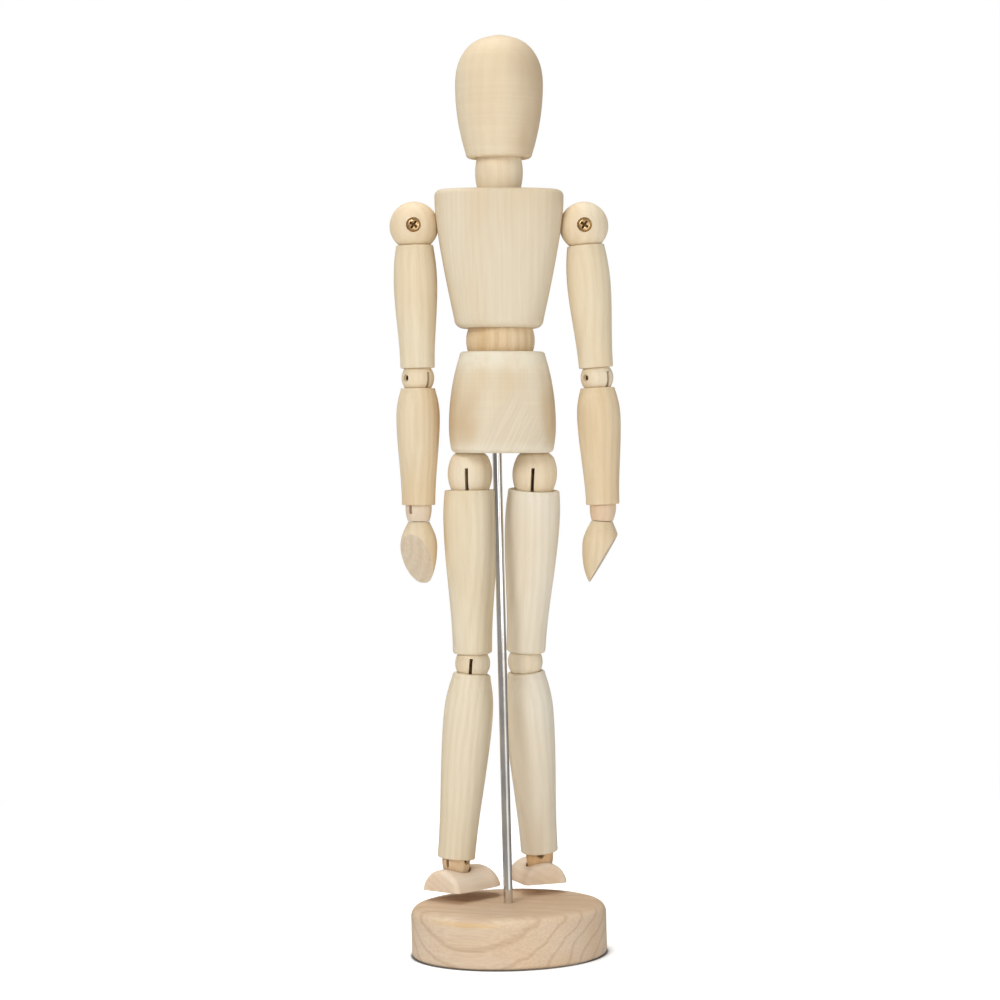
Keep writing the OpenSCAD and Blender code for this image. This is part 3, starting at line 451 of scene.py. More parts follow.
def wood_group():
    tree = bpy.data.node_groups.new("wood figure", "ShaderNodeTree")
    for way, sockets in (("INPUT", GROUP_INPUTS), ("OUTPUT", GROUP_OUTPUTS)):
        for name, kind in sockets:
            tree.interface.new_socket(name, in_out=way, socket_type=f"NodeSocket{kind}")
    given = new_node(tree, "NodeGroupInput").outputs
    out = new_node(tree, "NodeGroupOutput").inputs
    place = given["Position"]
    fibre = stretched_noise(tree, place, FIBRE_SIZE, detail=3.0, rough=0.6)
    pore = spread(tree, stretched_noise(tree, place, PORE_SIZE, rough=0.55), *PORE_RANGE)
    drift = spread(tree, stretched_noise(tree, place, DRIFT_SIZE), *DRIFT_RANGE)

    ring_share = maths(tree, "MULTIPLY", year_rings(tree, place, given), given["Ring strength"])
    fibre_share = maths(tree, "MULTIPLY", spread(tree, fibre, *FIBRE_RANGE), given["Fibre strength"])
    pore_share = maths(tree, "MULTIPLY", pore, given["Fibre strength"])
    lines = maths(tree, "ADD", ring_share, fibre_share)
    share = maths(tree, "ADD", lines, maths(tree, "MULTIPLY", pore_share, PORE_DARK), clamp=True)
    tone = blend_colour(tree, share, given["Pale"], given["Dark"])
    drift_share = maths(tree, "MULTIPLY", drift, given["Drift"])
    link(tree, blend_colour(tree, drift_share, tone, given["Tint"], "MULTIPLY"), out["Color"])
    link(tree, maths(tree, "MULTIPLY_ADD", fibre, WOOD_ROUGH_MORE, WOOD_ROUGH), out["Roughness"])
    link(tree, maths(tree, "SUBTRACT", maths(tree, "MULTIPLY", fibre, FIBRE_HIGH), pore_share), out["Height"])
    return tree


wood_figure = wood_group()
print("wood figure:", len(wood_figure.nodes), "nodes")

# %% [markdown]
# Some pieces have marks of their own: the pelvis shows a pale arch where the rings come through its front,
# and its flanks, the head's cheek and the base's edge are warmer in places. The base's flat top is darker as
# painted shade. Vertex paint could hold such marks, but a soft mask on the position needs no painted data and
# stays sharp at any mesh size.

# %% Marks on single pieces
ARCH_WOBBLE_SIZE, ARCH_WOBBLE_BY = (0.16, 0.16, 0.1), 4.0
ARCH_EDGES = (-4.0, 0.5)
RAY_SIZE, RAY_RANGE = (2.2, 0.6, 0.06), (0.35, 0.65)
PATCH_RANGE, PATCH_LEAST = (0.3, 0.62), 0.5


def arch_mask(tree, where, foot, top, half_width, middle):
    """1 inside a pointed arch on the front of a piece, 0 outside, with soft edges."""
    x, _, z = split_axes(tree, where)
    left_over = maths(tree, "SUBTRACT", 1.0, spread(tree, z, foot, top), clamp=True)
    room = maths(tree, "MULTIPLY", maths(tree, "SQRT", left_over), half_width)
    aside = maths(tree, "ABSOLUTE", maths(tree, "SUBTRACT", x, middle))
    wobble = stretched_noise(tree, where, ARCH_WOBBLE_SIZE)
    inside = maths(tree, "SUBTRACT", room, maths(tree, "MULTIPLY_ADD", wobble, ARCH_WOBBLE_BY, aside))
    return spread(tree, inside, *ARCH_EDGES)


def add_arch(tree, where, colour, arch):
    """A pale pointed arch with fine slanting rays, where the rings come through to the surface."""
    mask = arch_mask(tree, where, *arch["shape"])
    slant = new_node(tree, "ShaderNodeVectorRotate", rotation_type="Y_AXIS")
    link(tree, where, slant.inputs["Vector"])
    slant.inputs["Angle"].default_value = math.radians(arch["slant"])
    rays = spread(tree, stretched_noise(tree, slant.outputs[0], RAY_SIZE), *RAY_RANGE)
    inner = blend_colour(tree, rays, arch["pale"], arch["dark"])
    return blend_colour(tree, maths(tree, "MULTIPLY", mask, arch["share"]), colour, inner)


def add_patch(tree, where, colour, patch):
    """A soft-edged patch of another colour. A limit gives an axis, its middle, and the distances from there
    at which the patch is gone and full."""
    axes = split_axes(tree, where)
    cloud = stretched_noise(tree, where, patch["noise"])
    share = spread(tree, cloud, *PATCH_RANGE, patch["share"] * PATCH_LEAST, patch["share"])
    for along, middle, gone, full in patch["limits"]:
        away = maths(tree, "ABSOLUTE", maths(tree, "SUBTRACT", axes[along], middle))
        share = maths(tree, "MULTIPLY", share, spread(tree, away, gone, full))
    return blend_colour(tree, share, colour, patch["colour"])


X, Y, Z = 0, 1, 2
EVEN_CLOUD = (0.2, 0.2, 0.2)
flanks = {"colour": srgb(204, 176, 137), "share": 0.75, "noise": (0.14, 0.14, 0.06),
          "limits": ((X, 3.0, 7.0, 14.0), (Z, -25.0, 13.0, 3.0))}
belly_arch = {"shape": (-41.0, -16.0, 12.0, 4.5), "slant": -26, "share": 0.7,
              "pale": srgb(225, 212, 188), "dark": srgb(216, 200, 174)}
top_edge = {"colour": srgb(238, 230, 209), "share": 0.8, "noise": EVEN_CLOUD,
            "limits": ((Z, -4.0, 9.0, 2.0),)}
low_edge = {"colour": srgb(234, 223, 201), "share": 0.8, "noise": EVEN_CLOUD,
            "limits": ((Z, -39.0, 6.0, 2.0),)}
warm_cheek = {"colour": srgb(203, 177, 142), "share": 0.7, "noise": (0.1, 0.1, 0.04), "in_row": True,
              "limits": ((X, 17.0, 12.0, 5.0), (Z, 283.0, 26.0, 12.0))}
streak = {"colour": srgb(228, 192, 136), "share": 0.7, "noise": (0.16, 0.16, 0.9), "in_row": True,
          "limits": ((X, -13.0, 16.0, 4.0), (Y, -28.0, 12.0, 8.0), (Z, 14.5, 1.4, 0.2))}
# Painted shade: the base's flat top is darkened.
painted_shade_on_top = {"colour": srgb(204, 172, 138), "share": 0.5, "noise": EVEN_CLOUD, "in_row": True,
            "limits": ((Z, 20.0, 4.4, 3.4),)}
lathe_lines = {"colour": srgb(208, 185, 152), "share": 0.24, "noise": (0.02, 0.02, 1.1), "limits": ()}
patches = (flanks, top_edge, low_edge, warm_cheek, streak, painted_shade_on_top, lathe_lines)
print("marks: an arch and", len(patches), "patches")

# %% [markdown]
# Each kind of wood is one material round the same group, with its own colours and ring spacing. The limbs,
# the trunk, the balls, the feet and the base of the real figure differ in tone, as wood from different
# planks does. One wood for all would be simpler, but it would look cast. A CAD ball has no grain position
# of its own, so its wood reads the place in the row frame.

# %% Kinds of wood
WOOD_BUMP, WOOD_BUMP_DEEP, WOOD_SHEEN = 0.25, 0.03, 0.32


def wood(name, pale, dark, tint, spacing, rings, fibres, drift, heart=(38, 22, 0), own_grain=True,
         ring_edge=0.08, extras=()):
    """One kind of wood; its colours are screen colours and its spacing and heart are in millimetres."""
    mat, tree, shader = new_material(name)
    in_row = object_mm(tree)
    where = in_row
    if own_grain:
        where = new_node(tree, "ShaderNodeAttribute", attribute_name="grain").outputs["Vector"]
    figure = new_node(tree, "ShaderNodeGroup", node_tree=wood_figure)
    link(tree, where, figure.inputs["Position"])
    given = {"Pale": srgb(*pale), "Dark": srgb(*dark), "Tint": srgb(*tint), "Ring spacing": spacing,
             "Ring edge": ring_edge, "Ring strength": rings, "Fibre strength": fibres, "Drift": drift,
             "Heart": heart}
    for key, value in given.items():
        figure.inputs[key].default_value = value
    colour = figure.outputs["Color"]
    for add, values in extras:
        colour = add(tree, in_row if values.get("in_row") else where, colour, values)
    link(tree, colour, shader.inputs["Base Color"])
    link(tree, figure.outputs["Roughness"], shader.inputs["Roughness"])
    add_bump(tree, shader, figure.outputs["Height"], WOOD_BUMP, WOOD_BUMP_DEEP)
    shader.inputs["Specular IOR Level"].default_value = WOOD_SHEEN
    return mat


pale_wood = wood("pale wood", (235, 222, 195), (221, 202, 170), (250, 243, 232),
                 spacing=2.6, rings=0.3, fibres=0.3, drift=0.8)
tawny_wood = wood("tawny wood", (231, 213, 181), (214, 191, 155), (250, 240, 226),
                  spacing=2.6, rings=0.3, fibres=0.3, drift=0.8)
sawn_wood = wood("sawn wood", (221, 205, 181), (203, 183, 154), (250, 240, 228),
                 spacing=2.2, rings=0.35, fibres=0.5, drift=0.8)
white_wood = wood("white wood", (238, 229, 210), (225, 211, 188), (250, 244, 234),
                  spacing=2.6, rings=0.3, fibres=0.3, drift=0.8)
chest_wood = wood("chest wood", (226, 213, 187), (213, 195, 166), (250, 240, 230),
                  spacing=1.8, rings=0.16, fibres=0.26, drift=0.9, heart=(60, 10, 0))
pelvis_wood = wood("pelvis wood", (233, 222, 199), (221, 204, 174), (250, 242, 228),
                   spacing=5.5, rings=0.3, fibres=0.35, drift=0.9, heart=(4, 60, 0),
                   extras=((add_patch, lathe_lines), (add_patch, flanks), (add_arch, belly_arch),
                           (add_patch, top_edge), (add_patch, low_edge)))
head_wood = wood("head wood", (233, 218, 189), (220, 201, 170), (252, 245, 236),
                 spacing=4.0, rings=0.18, fibres=0.22, drift=0.9,
                 extras=((add_patch, lathe_lines), (add_patch, warm_cheek)))
waist_wood = wood("waist wood", (233, 215, 184), (214, 188, 150), (246, 232, 210),
                  spacing=3.4, rings=0.5, fibres=0.5, drift=0.8, own_grain=False)
ankle_wood = wood("ankle wood", (236, 209, 172), (214, 180, 138), (246, 230, 206),
                  spacing=3.4, rings=0.4, fibres=0.5, drift=0.8, own_grain=False)
wrist_wood = wood("wrist wood", (232, 214, 190), (217, 194, 165), (250, 236, 222),
                  spacing=3.0, rings=0.3, fibres=0.3, drift=0.8, own_grain=False)
ball_wood = wood("ball wood", (237, 222, 195), (222, 203, 170), (250, 242, 230),
                 spacing=3.0, rings=0.25, fibres=0.3, drift=0.8, own_grain=False)
foot_wood = wood("foot wood", (243, 226, 203), (230, 205, 175), (250, 236, 222),
                 spacing=2.6, rings=0.3, fibres=0.3, drift=0.9)
base_wood = wood("base wood", (231, 209, 182), (204, 174, 144), (252, 243, 230),
                 spacing=4.8, rings=0.5, fibres=0.45, drift=0.8, heart=(70, 6, 0), ring_edge=0.32,
                 extras=((add_patch, painted_shade_on_top), (add_patch, streak)))
print("woods:", [m.name for m in bpy.data.materials if m.name.endswith("wood")])

# %% [markdown]
# ## Limbs
#
# An arm or a leg piece is turned between two balls and drilled through for the spring that holds it to
# them. It could be a solid with cups carved out, but one closed outline does it in one turn, and its edges
# stay clean: the measured side, a rounded rim at each end, a hollow cup that the ball sits in, and the bore
# between the cups. The cup's inner edge is broken a little, so that the ball clears it at the end of its
# swing.

# %% Turned limbs
BORE = 2.6
RIM, KNEE_RIM, RIM_STEPS = 0.45, 1.1, 6
CUP_EDGE, CUP_STEPS = 0.15, 14
SIDE_INSET, SIDE_ROWS, SIDE_PASSES = 0.25, 72, 10


def rim_points(radius, z, soft, up):
    """A rounded rim where the side meets a flat end; up is 1 at the upper end and -1 at the lower."""
    if up > 0:
        return arc(radius - soft, z - soft, soft, 90, 0, RIM_STEPS)
    return arc(radius - soft, z + soft, soft, 0, -90, RIM_STEPS)


def cup_points(radius, centre, rim_z, bore):
    """A ball's cup from the rim's broken edge in to the bore, as an outline."""
    way = 1 if rim_z > centre else -1
    at_rim = math.sqrt(radius ** 2 - (rim_z - centre) ** 2)
    edge = math.acos((abs(rim_z - centre) + CUP_EDGE) / radius)
    hole = math.asin(bore / radius)
    angles = [edge + (hole - edge) * i / CUP_STEPS for i in range(CUP_STEPS + 1)]
    cup = [(radius * math.sin(a), centre + way * radius * math.cos(a)) for a in angles]
    return [(at_rim + CUP_EDGE, rim_z), *cup]


def turned_limb(limb, top, bottom, top_soft, bottom_soft, material):
    """A limb between two joints, with rims as soft as is said."""
    start, end = point(top), point(bottom)
    at = frame_at(start, start - end)
    length = (end - start).length / MM
    skin = Skin(limb, at)
    upper_cup = skin.nearest()
    lower_cup = skin.nearest((0, 0, -length))
    side_top, side_low = skin.high - top_soft - SIDE_INSET, skin.low + bottom_soft + SIDE_INSET
    profile = relax(skin.outline(side_top, side_low, SIDE_ROWS), SIDE_PASSES)
    outline = cup_points(upper_cup, 0.0, skin.high, BORE)[::-1]
    outline += rim_points(profile[0][0], skin.high, top_soft, 1)
    outline += profile
    outline += rim_points(profile[-1][0], skin.low, bottom_soft, -1)
    outline += cup_points(lower_cup, -length, skin.low, BORE)
    keep_piece(spun(outline, closed=True), f"{limb}_turned", at, limb, limb, material)
    widest = max(r for r, _ in profile)
    print(limb, "cups", round(upper_cup, 2), round(lower_cup, 2), "widest", round(widest, 2))


for side, leg_wood in zip(SIDES, (pale_wood, white_wood)):
    for limb, top, bottom, top_soft, bottom_soft, material in (
            ("upper_arm", "arm_raise", "elbow_bend", RIM, RIM, pale_wood),
            ("forearm", "elbow_bend", "wrist_bend", RIM, RIM, tawny_wood),
            ("thigh", "hip_bend", "knee_bend", RIM, KNEE_RIM, leg_wood),
            ("shin", "knee_bend", "ankle_bend", KNEE_RIM, RIM, leg_wood)):
        turned_limb(f"{side}_{limb}", f"{side}_{top}", f"{side}_{bottom}", top_soft, bottom_soft, material)

# %% [markdown]
# ## Head
#
# The head is an egg on the neck's ball, with a cup below and a narrow hole for the neck's bolt.
# A scaled sphere would be near it, but the egg is fuller at the top, so its side is measured and turned.

# %% Turned head
RUN, END_GAP = 0.05, 0.1
BOLT_BARE = 2.0
HEAD_RIM, HEAD_RIM_TURN, HEAD_RIM_STEPS = 1.4, (-90, -6), 8
UNDER_CROWN, HEAD_ROWS, HEAD_PASSES = 0.05, 90, 6
head_at = frame_at(point("head_turn"), axis("head_turn"))
head_skin = Skin("head", head_at)
eye_skin = Skin("head_eye", head_at)
bolt_hole = eye_skin.radius(eye_skin.high - BOLT_BARE) + RUN
bolt_end = eye_skin.high + END_GAP
head_side = head_skin.outline(head_skin.low + HEAD_RIM, head_skin.high - UNDER_CROWN, HEAD_ROWS)
head_side = relax(head_side, HEAD_PASSES)
head_cup = cup_points(head_skin.nearest(), 0.0, head_skin.low, bolt_hole)
head_rim = arc(head_side[0][0] - HEAD_RIM, head_skin.low + HEAD_RIM, HEAD_RIM, *HEAD_RIM_TURN, HEAD_RIM_STEPS)
head_outline = [(0.0, bolt_end), (bolt_hole, bolt_end), *head_cup[::-1], *head_rim, *head_side,
                (0.0, head_skin.high)]
keep_piece(spun(head_outline), "head_turned", head_at, "head", "head", head_wood)
print("head", round(head_skin.high - head_skin.low, 2), "mm high")

# %% [markdown]
# ## Base
#
# The base is a thick disc with rounded edges and the rod's hole in its middle, turned from a plank that
# lies flat. A bevelled cylinder would do for the shape, but the measured side keeps the CAD's own rounding.
# The plank's fibres run across the disc at a slant, so the grain is turned before it is stored.

# %% Turned base
BASE_STEPS, BASE_ROWS, BASE_PASSES = 160, 80, 3
BASE_INSET, BASE_LOW_EDGE, BASE_TOP_EDGE, HOLE_EDGE = 0.02, 0.4, 0.8, 0.15
BASE_FIBRE, BASE_RINGS = math.radians(-24), math.radians(37)
rod_hole = rod_radius + RUN
hole_floor = rod_skin.low - RUN
base_skin = Skin("base", base_at)
base_top = base_skin.high
base_side = relax(base_skin.outline(BASE_INSET, base_top - BASE_INSET, BASE_ROWS), BASE_PASSES)
base_outline = [(0, 0), (base_side[0][0] - BASE_LOW_EDGE, 0), *base_side,
                (base_side[-1][0] - BASE_TOP_EDGE, base_top), (rod_hole + HOLE_EDGE, base_top),
                (rod_hole, base_top - HOLE_EDGE), (rod_hole, hole_floor), (0, hole_floor)]
fibre_way = Vector((math.cos(BASE_FIBRE), math.sin(BASE_FIBRE), 0))
ring_way = Vector((math.sin(BASE_FIBRE) * math.sin(BASE_RINGS), -math.cos(BASE_FIBRE) * math.sin(BASE_RINGS),
                   math.cos(BASE_RINGS)))
base_grain = Matrix((ring_way, fibre_way.cross(ring_way), fibre_way)).to_4x4()
base_solid = spun(base_outline, steps=BASE_STEPS)
keep_piece(base_solid, "base_turned", base_at, "base", "base", base_wood, base_grain,
           loose_grain=False)
print("base", round(2 * max(r for r, _ in base_side), 2), "mm wide and", round(base_top, 2), "mm thick")

# %% [markdown]
# ## Pelvis and chest
#
# Both are ovals with squared-off corners that change from row to row, which a plain lathe can't turn. A
# subdivided box could be pulled to the shape, but bridged rows of ovals take their sizes straight from the
# CAD skin. The width is read well off the middle of each side, where the rays miss the cups.

# %% Ovals in rows
OVAL_STEPS, OVAL_ROWS, OVAL_PASSES = 128, 40, 8
OVAL_ASIDE = 0.8
ROUND_TURNS = range(0, 90, 10)
PELVIS_SQUARE, CHEST_SQUARE = 2.7, 3.0


def round_end(span, end, soft, way, turns):
    """Rows of a rounded edge; way is 1 where the solid lies above its end and -1 where it lies below."""
    _, middle, w, d = span
    rows = []
    for turn in turns:
        step = soft * (1 - math.cos(math.radians(turn)))
        inset = soft * (1 - math.sin(math.radians(turn)))
        rows.append((end + way * step, middle, w - inset, d - inset))
    return rows


def oval_rows(skin, low_soft, high_soft, square):
    """Rows of (z, middle, half width, half depth) with rounded lower and upper edges."""
    grow = (1 - OVAL_ASIDE ** square) ** (1 / square)
    spans = []
    for i in range(OVAL_ROWS + 1):
        z = skin.low + low_soft + (skin.high - skin.low - low_soft - high_soft) * i / OVAL_ROWS
        depth = max(skin.reach(t, z) for t in (90, 270))
        right, left = (skin.reach(t, z, OVAL_ASIDE * depth) for t in (0, 180))
        spans.append((z, (right - left) / 2, (right + left) / 2 / grow, depth))
    for _ in range(OVAL_PASSES):
        inner = [tuple((p + 2 * q + r) / 4 for p, q, r in zip(*three))
                 for three in zip(spans, spans[1:], spans[2:])]
        spans = [spans[0], *inner, spans[-1]]
    low_end = round_end(spans[0], skin.low, low_soft, 1, ROUND_TURNS)
    high_end = round_end(spans[-1], skin.high, high_soft, -1, ROUND_TURNS[::-1])
    return [*low_end, *spans, *high_end]


def oval_point(turn, w, d, square):
    """A point on a squared-off oval."""
    c, s = math.cos(turn), math.sin(turn)
    return (w * math.copysign(abs(c) ** (2 / square), c), d * math.copysign(abs(s) ** (2 / square), s))


def lofted(rows, square):
    """A solid through all the rows."""
    bm = bmesh.new()
    loops = []
    for z, middle, w, d in rows:
        ring = []
        for j in range(OVAL_STEPS):
            x, y = oval_point(math.tau * j / OVAL_STEPS, w, d, square)
            ring.append(bm.verts.new((middle + x, y, z)))
        loops.append(ring)
    loops = [[bm.edges.new(pair) for pair in zip(ring, ring[1:] + ring[:1])] for ring in loops]
    for a, b in zip(loops, loops[1:]):
        bmesh.ops.bridge_loops(bm, edges=a + b)
    for loop in (loops[0], loops[-1]):
        bmesh.ops.edgeloop_fill(bm, edges=loop)
    bmesh.ops.recalc_face_normals(bm, faces=bm.faces[:])
    return bm


PELVIS_LOW, PELVIS_TOP, CHEST_LOW, CHEST_TOP = 2.0, 1.2, 3.0, 2.0
waist_at = frame_at(point("waist_turn"), axis("waist_turn"), axis("waist_bend"))
pelvis_skin = Skin("pelvis", waist_at)
chest_skin = Skin("chest", waist_at)
pelvis_rows = oval_rows(pelvis_skin, PELVIS_LOW, PELVIS_TOP, PELVIS_SQUARE)
chest_rows = oval_rows(chest_skin, CHEST_LOW, CHEST_TOP, CHEST_SQUARE)
print("pelvis widest", round(2 * max(w for _, _, w, _ in pelvis_rows), 2),
      "chest widest", round(2 * max(w for _, _, w, _ in chest_rows), 2))

# %% [markdown]
# The trunk is hollowed out as the maker does it: a round cutter for every cup, and a drill for every bore,
# stem and pin. The holes could be left out where nothing shows, but the springs and pins inside would then
# cut through the wood.

# %% Hollow trunk
STEM_HOLE = 1.15
PAST_PIN, PAST_SPRING = 2.2, 1.0
THROUGH = 40
ROD_DEEP = 40.0


def here(joint):
    """A joint's point in the waist's frame, in millimetres."""
    return waist_at.inverted() @ point(joint)


def node_span(node, at):
    """Lowest and highest corner of a CAD node in a frame, in millimetres."""
    points = Skin(node, at).points
    return tuple(Vector(pick(p[i] for p in points) for i in range(3)) for pick in (min, max))


waist_cup = min(pelvis_skin.nearest(), chest_skin.nearest())
hip_cup = min(pelvis_skin.nearest(here(f"{s}_hip_bend")) for s in SIDES)
shoulder_cup = min(chest_skin.nearest(here(f"{s}_arm_raise")) for s in SIDES)
neck_cup = chest_skin.nearest(here("neck_turn"))


def pelvis_tools():
    """Cutters for the waist's cup and stem, the hips, the pin that the springs hang on, and the rod."""
    tools = [ball(waist_cup)]
    stem_low, _ = node_span("waist_fittings", waist_at)
    tools.append(bar(STEM_HOLE, (0, 0, stem_low.z - END_GAP), (0, 0, 0)))
    pin_low, pin_high = node_span("pelvis_cross_pin", waist_at)
    pin_z, pin_y = (pin_low.z + pin_high.z) / 2, (pin_low.y + pin_high.y) / 2
    for side in SIDES:
        hip = here(f"{side}_hip_bend")
        tools.append(ball(hip_cup, hip))
        tools.append(bar(BORE, (hip.x, hip.y, hip.z), (hip.x, hip.y, pin_z + PAST_PIN)))
    pin_hole = (pin_high.z - pin_low.z) / 2 + RUN
    tools.append(bar(pin_hole, (-THROUGH, pin_y, pin_z), (pin_high.x + END_GAP, pin_y, pin_z)))
    rod_up = waist_at.inverted() @ Vector((0, 0, (rod_skin.high + END_GAP) * MM))
    rod_down = waist_at.inverted() @ Vector((0, 0, (rod_skin.high - ROD_DEEP) * MM))
    tools.append(bar(rod_hole, rod_down, rod_up))
    return tools


def chest_tools():
    """Cutters for the waist, the spine's spring and pin, the neck and its stem, and the shoulders."""
    neck = here("neck_turn")
    tools = [ball(waist_cup), ball(neck_cup, neck)]
    _, spring_high = node_span("spine_spring", waist_at)
    tools.append(bar(BORE, (0, 0, 0), (0, 0, spring_high.z + PAST_SPRING)))
    pin_low, pin_high = node_span("chest_cross_pin", waist_at)
    pin_z = (pin_low.z + pin_high.z) / 2
    pin_hole = (pin_high.z - pin_low.z) / 2 + RUN
    tools.append(bar(pin_hole, (0, pin_low.y - END_GAP, pin_z), (0, THROUGH, pin_z)))
    stem_low, _ = node_span("neck_fittings", waist_at)
    tools.append(bar(STEM_HOLE, (neck.x, 0, stem_low.z - END_GAP), (neck.x, 0, neck.z)))
    shoulders = [here(f"{s}_arm_raise") for s in SIDES]
    tools.append(bar(BORE, *shoulders))
    tools += [ball(shoulder_cup, p) for p in shoulders]
    return tools


pelvis = carve(lofted(pelvis_rows, PELVIS_SQUARE), pelvis_tools())
keep_piece(pelvis, "pelvis_shaped", waist_at, "pelvis", "pelvis", pelvis_wood, loose_grain=False)
chest = carve(lofted(chest_rows, CHEST_SQUARE), chest_tools())
keep_piece(chest, "chest_shaped", waist_at, "chest", "chest", chest_wood)
print("cups: waist", round(waist_cup, 2), "hip", round(hip_cup, 2), "shoulder", round(shoulder_cup, 2),
      "neck", round(neck_cup, 2))

# %% [markdown]
# ## Hands
#
# A hand is a turned egg on a short tenon, sawn flat on one side. A flattened sphere would lose the crisp edge
# of the cut, so the whole egg is turned first and then sliced. The slice is the largest flat on the CAD node,
# and its sawn face is a little duller than the turned wood.

# %% Turned and sawn hands
FLAT_ENOUGH, LEVEL = 0.995, 0.9
HAND_GAP, TENON_DOWN = 0.22, 0.5
EGG_TOP, EGG_TIP, EGG_ROWS, EGG_PASSES, EGG_LOOK = 0.05, 0.3, 70, 6, 40
TIP_SHARES = (0.9, 0.6, 0.3)
HAND_SHOULDER, SAWN_EDGE = 0.25, 0.3


def joint_frame(joint, facing):
    """A frame at a joint with its z along the joint's axis, turned to the side that faces the given way."""
    along = axis(joint)
    if along.dot(Vector(facing)) < 0:
        along = -along
    return frame_at(point(joint), along)


def egg_outline(skin, away, shoulder_z):
    """A hand's outline, measured on its round side, which faces away from the flat."""
    tenon = skin.reach(away, skin.high - TENON_DOWN)
    look = (away - EGG_LOOK, away, away + EGG_LOOK)
    egg = relax(skin.outline(shoulder_z - EGG_TOP, skin.low + EGG_TIP, EGG_ROWS, look), EGG_PASSES)
    tip = [(egg[-1][0] * s, skin.low + EGG_TIP * (1 - math.sqrt(1 - s * s))) for s in TIP_SHARES]
    top = [(0, skin.high), (tenon, skin.high), (tenon, shoulder_z), (egg[0][0] - HAND_SHOULDER, shoulder_z)]
    return [*top, *egg, *tip, (0, skin.low)]


for side in SIDES:
    node = f"{side}_hand"
    at = joint_frame(f"{side}_hand_turn", (0, 0, 1))
    skin = Skin(node, at)
    _, flat_way, flat_spot = next(f for f in skin.flats() if abs(f[1].z) < LEVEL)
    away = math.degrees(math.atan2(-flat_way.y, -flat_way.x))
    wrist_low, _ = node_span(f"{side}_wrist_ball", at)
    solid = slice_off(spun(egg_outline(skin, away, wrist_low.z - HAND_GAP)), flat_spot, flat_way, SAWN_EDGE)
    hand = keep_piece(solid, f"{side}_hand_turned", at, f"{side}_hand", node, tawny_wood)
    hand.data.materials.append(sawn_wood)
    sawn_way = (at.to_3x3() @ flat_way).normalized()
    for face in hand.data.polygons:
        face.material_index = int(face.normal.dot(sawn_way) > FLAT_ENOUGH)
    print(node, "flat faces", round(away + 180) % 360, "deg, tip", round(skin.low, 2))

# %% [markdown]
# ## Feet
#
# A foot is half of a turned loaf that lies on its flat sole: the flat end points forward and the round one
# back. Its top is bored for the ankle's foot and tenon. The loaf could be lofted like the chest, but the
# real one is turned, so its line is found below the sole, from its height and half width, and it is spun
# about that line.

# %% Turned and sawn feet
SOLE_EDGE, FACE_ROUND, FACE_TURN, FACE_STEPS = 0.35, 1.7, (-90, -8), 8
BEHIND_ANKLE = 0.6
NEAR, UPRIGHT = 0.02, 0.1
IN_SEAT, IN_TENON = 0.3, 0.5
BESIDE_HOLE, OVER_HEEL = (50, 60, 300, 310), (0, 12, 348)
LOAF_INSET, LOAF_ROWS, LOAF_PASSES = 0.05, 34, 4
DRILL_FROM = 20


def loaf_frame(node, up, heel_way, toe):
    """The frame of the line that a foot is turned about, its depth below the sole, and the foot's size."""
    sole = Skin(node, frame_at(up @ toe, heel_way, (0, 0, 1)))
    split = sole.high * BEHIND_ANKLE
    tall, half = sole.reach(0, split), sole.reach(90, split, -NEAR)
    sunk = (tall * tall + half * half) / (2 * tall) - tall
    return frame_at(up @ (toe - Vector((0, 0, sunk))), heel_way, (0, 0, 1)), sunk, tall, half


def loaf_outline(skin):
    """A foot's outline: beside the ankle's hole in front, and over the heel behind it."""
    split = skin.high * BEHIND_ANKLE
    front = skin.outline(skin.low + FACE_ROUND + LOAF_INSET, split, LOAF_ROWS, BESIDE_HOLE)
    heel = skin.outline(split, skin.high - NEAR, LOAF_ROWS, OVER_HEEL)
    loaf = relax(front + heel[1:], LOAF_PASSES)
    edge = arc(loaf[0][0] - FACE_ROUND, skin.low + FACE_ROUND, FACE_ROUND, *FACE_TURN, FACE_STEPS)
    return [(0, skin.low), *edge, *loaf, (0, skin.high)]


for side in SIDES:
    node = f"{side}_foot"
    up = frame_at(point(f"{side}_ankle_bend"), (0, 0, 1))
    skin = Skin(node, up)
    faces = skin.flats()
    _, face_way, face_spot = next(f for f in faces if abs(f[1].z) < UPRIGHT)
    sole_z = min(f[2].z for f in faces if f[1].z < -LEVEL)
    seat_z = next(f[2].z for f in faces if f[1].z > LEVEL)
    seat_r, tenon_r = skin.room(seat_z + IN_SEAT), skin.room(seat_z - IN_TENON)
    heel_way = -face_way
    sideways = Vector((-heel_way.y, heel_way.x, 0))
    on_face = [p.dot(sideways) for p in skin.points if abs((p - face_spot).dot(face_way)) < NEAR]
    face_middle = sideways * (min(on_face) + max(on_face)) / 2
    toe = heel_way * face_spot.dot(heel_way) + face_middle + Vector((0, 0, sole_z))
    at, sunk, tall, half = loaf_frame(node, up, heel_way, toe)
    skin = Skin(node, at)
    solid = slice_off(spun(loaf_outline(skin)), (sunk, 0, 0), (-1, 0, 0), SOLE_EDGE)
    ankle_low, _ = node_span(f"{side}_ankle_ball", up)
    back = at.inverted() @ up
    above = back @ Vector((0, 0, DRILL_FROM))
    tools = [bar(seat_r, back @ Vector((0, 0, seat_z)), above, SPIN_STEPS),
             bar(tenon_r, back @ Vector((0, 0, ankle_low.z - END_GAP)), above)]
    keep_piece(carve(solid, tools), f"{side}_foot_turned", at, f"{side}_foot", node, foot_wood)
    print(node, "long", round(skin.high - skin.low, 2), "wide", round(2 * half, 2), "high", round(tall, 2),
          "turned on a line", round(sunk, 2), "mm below its sole")

# %% [markdown]
# ## Metal
#
# The rod is drawn steel: bright, with faint draw marks along it. The springs are plainer steel, the pins
# are dull and brown, and the shoulder screws are brass. One even grey would do from far off, but close to,
# metal is known by the small changes in its shine, so noise stretched along z varies the roughness.

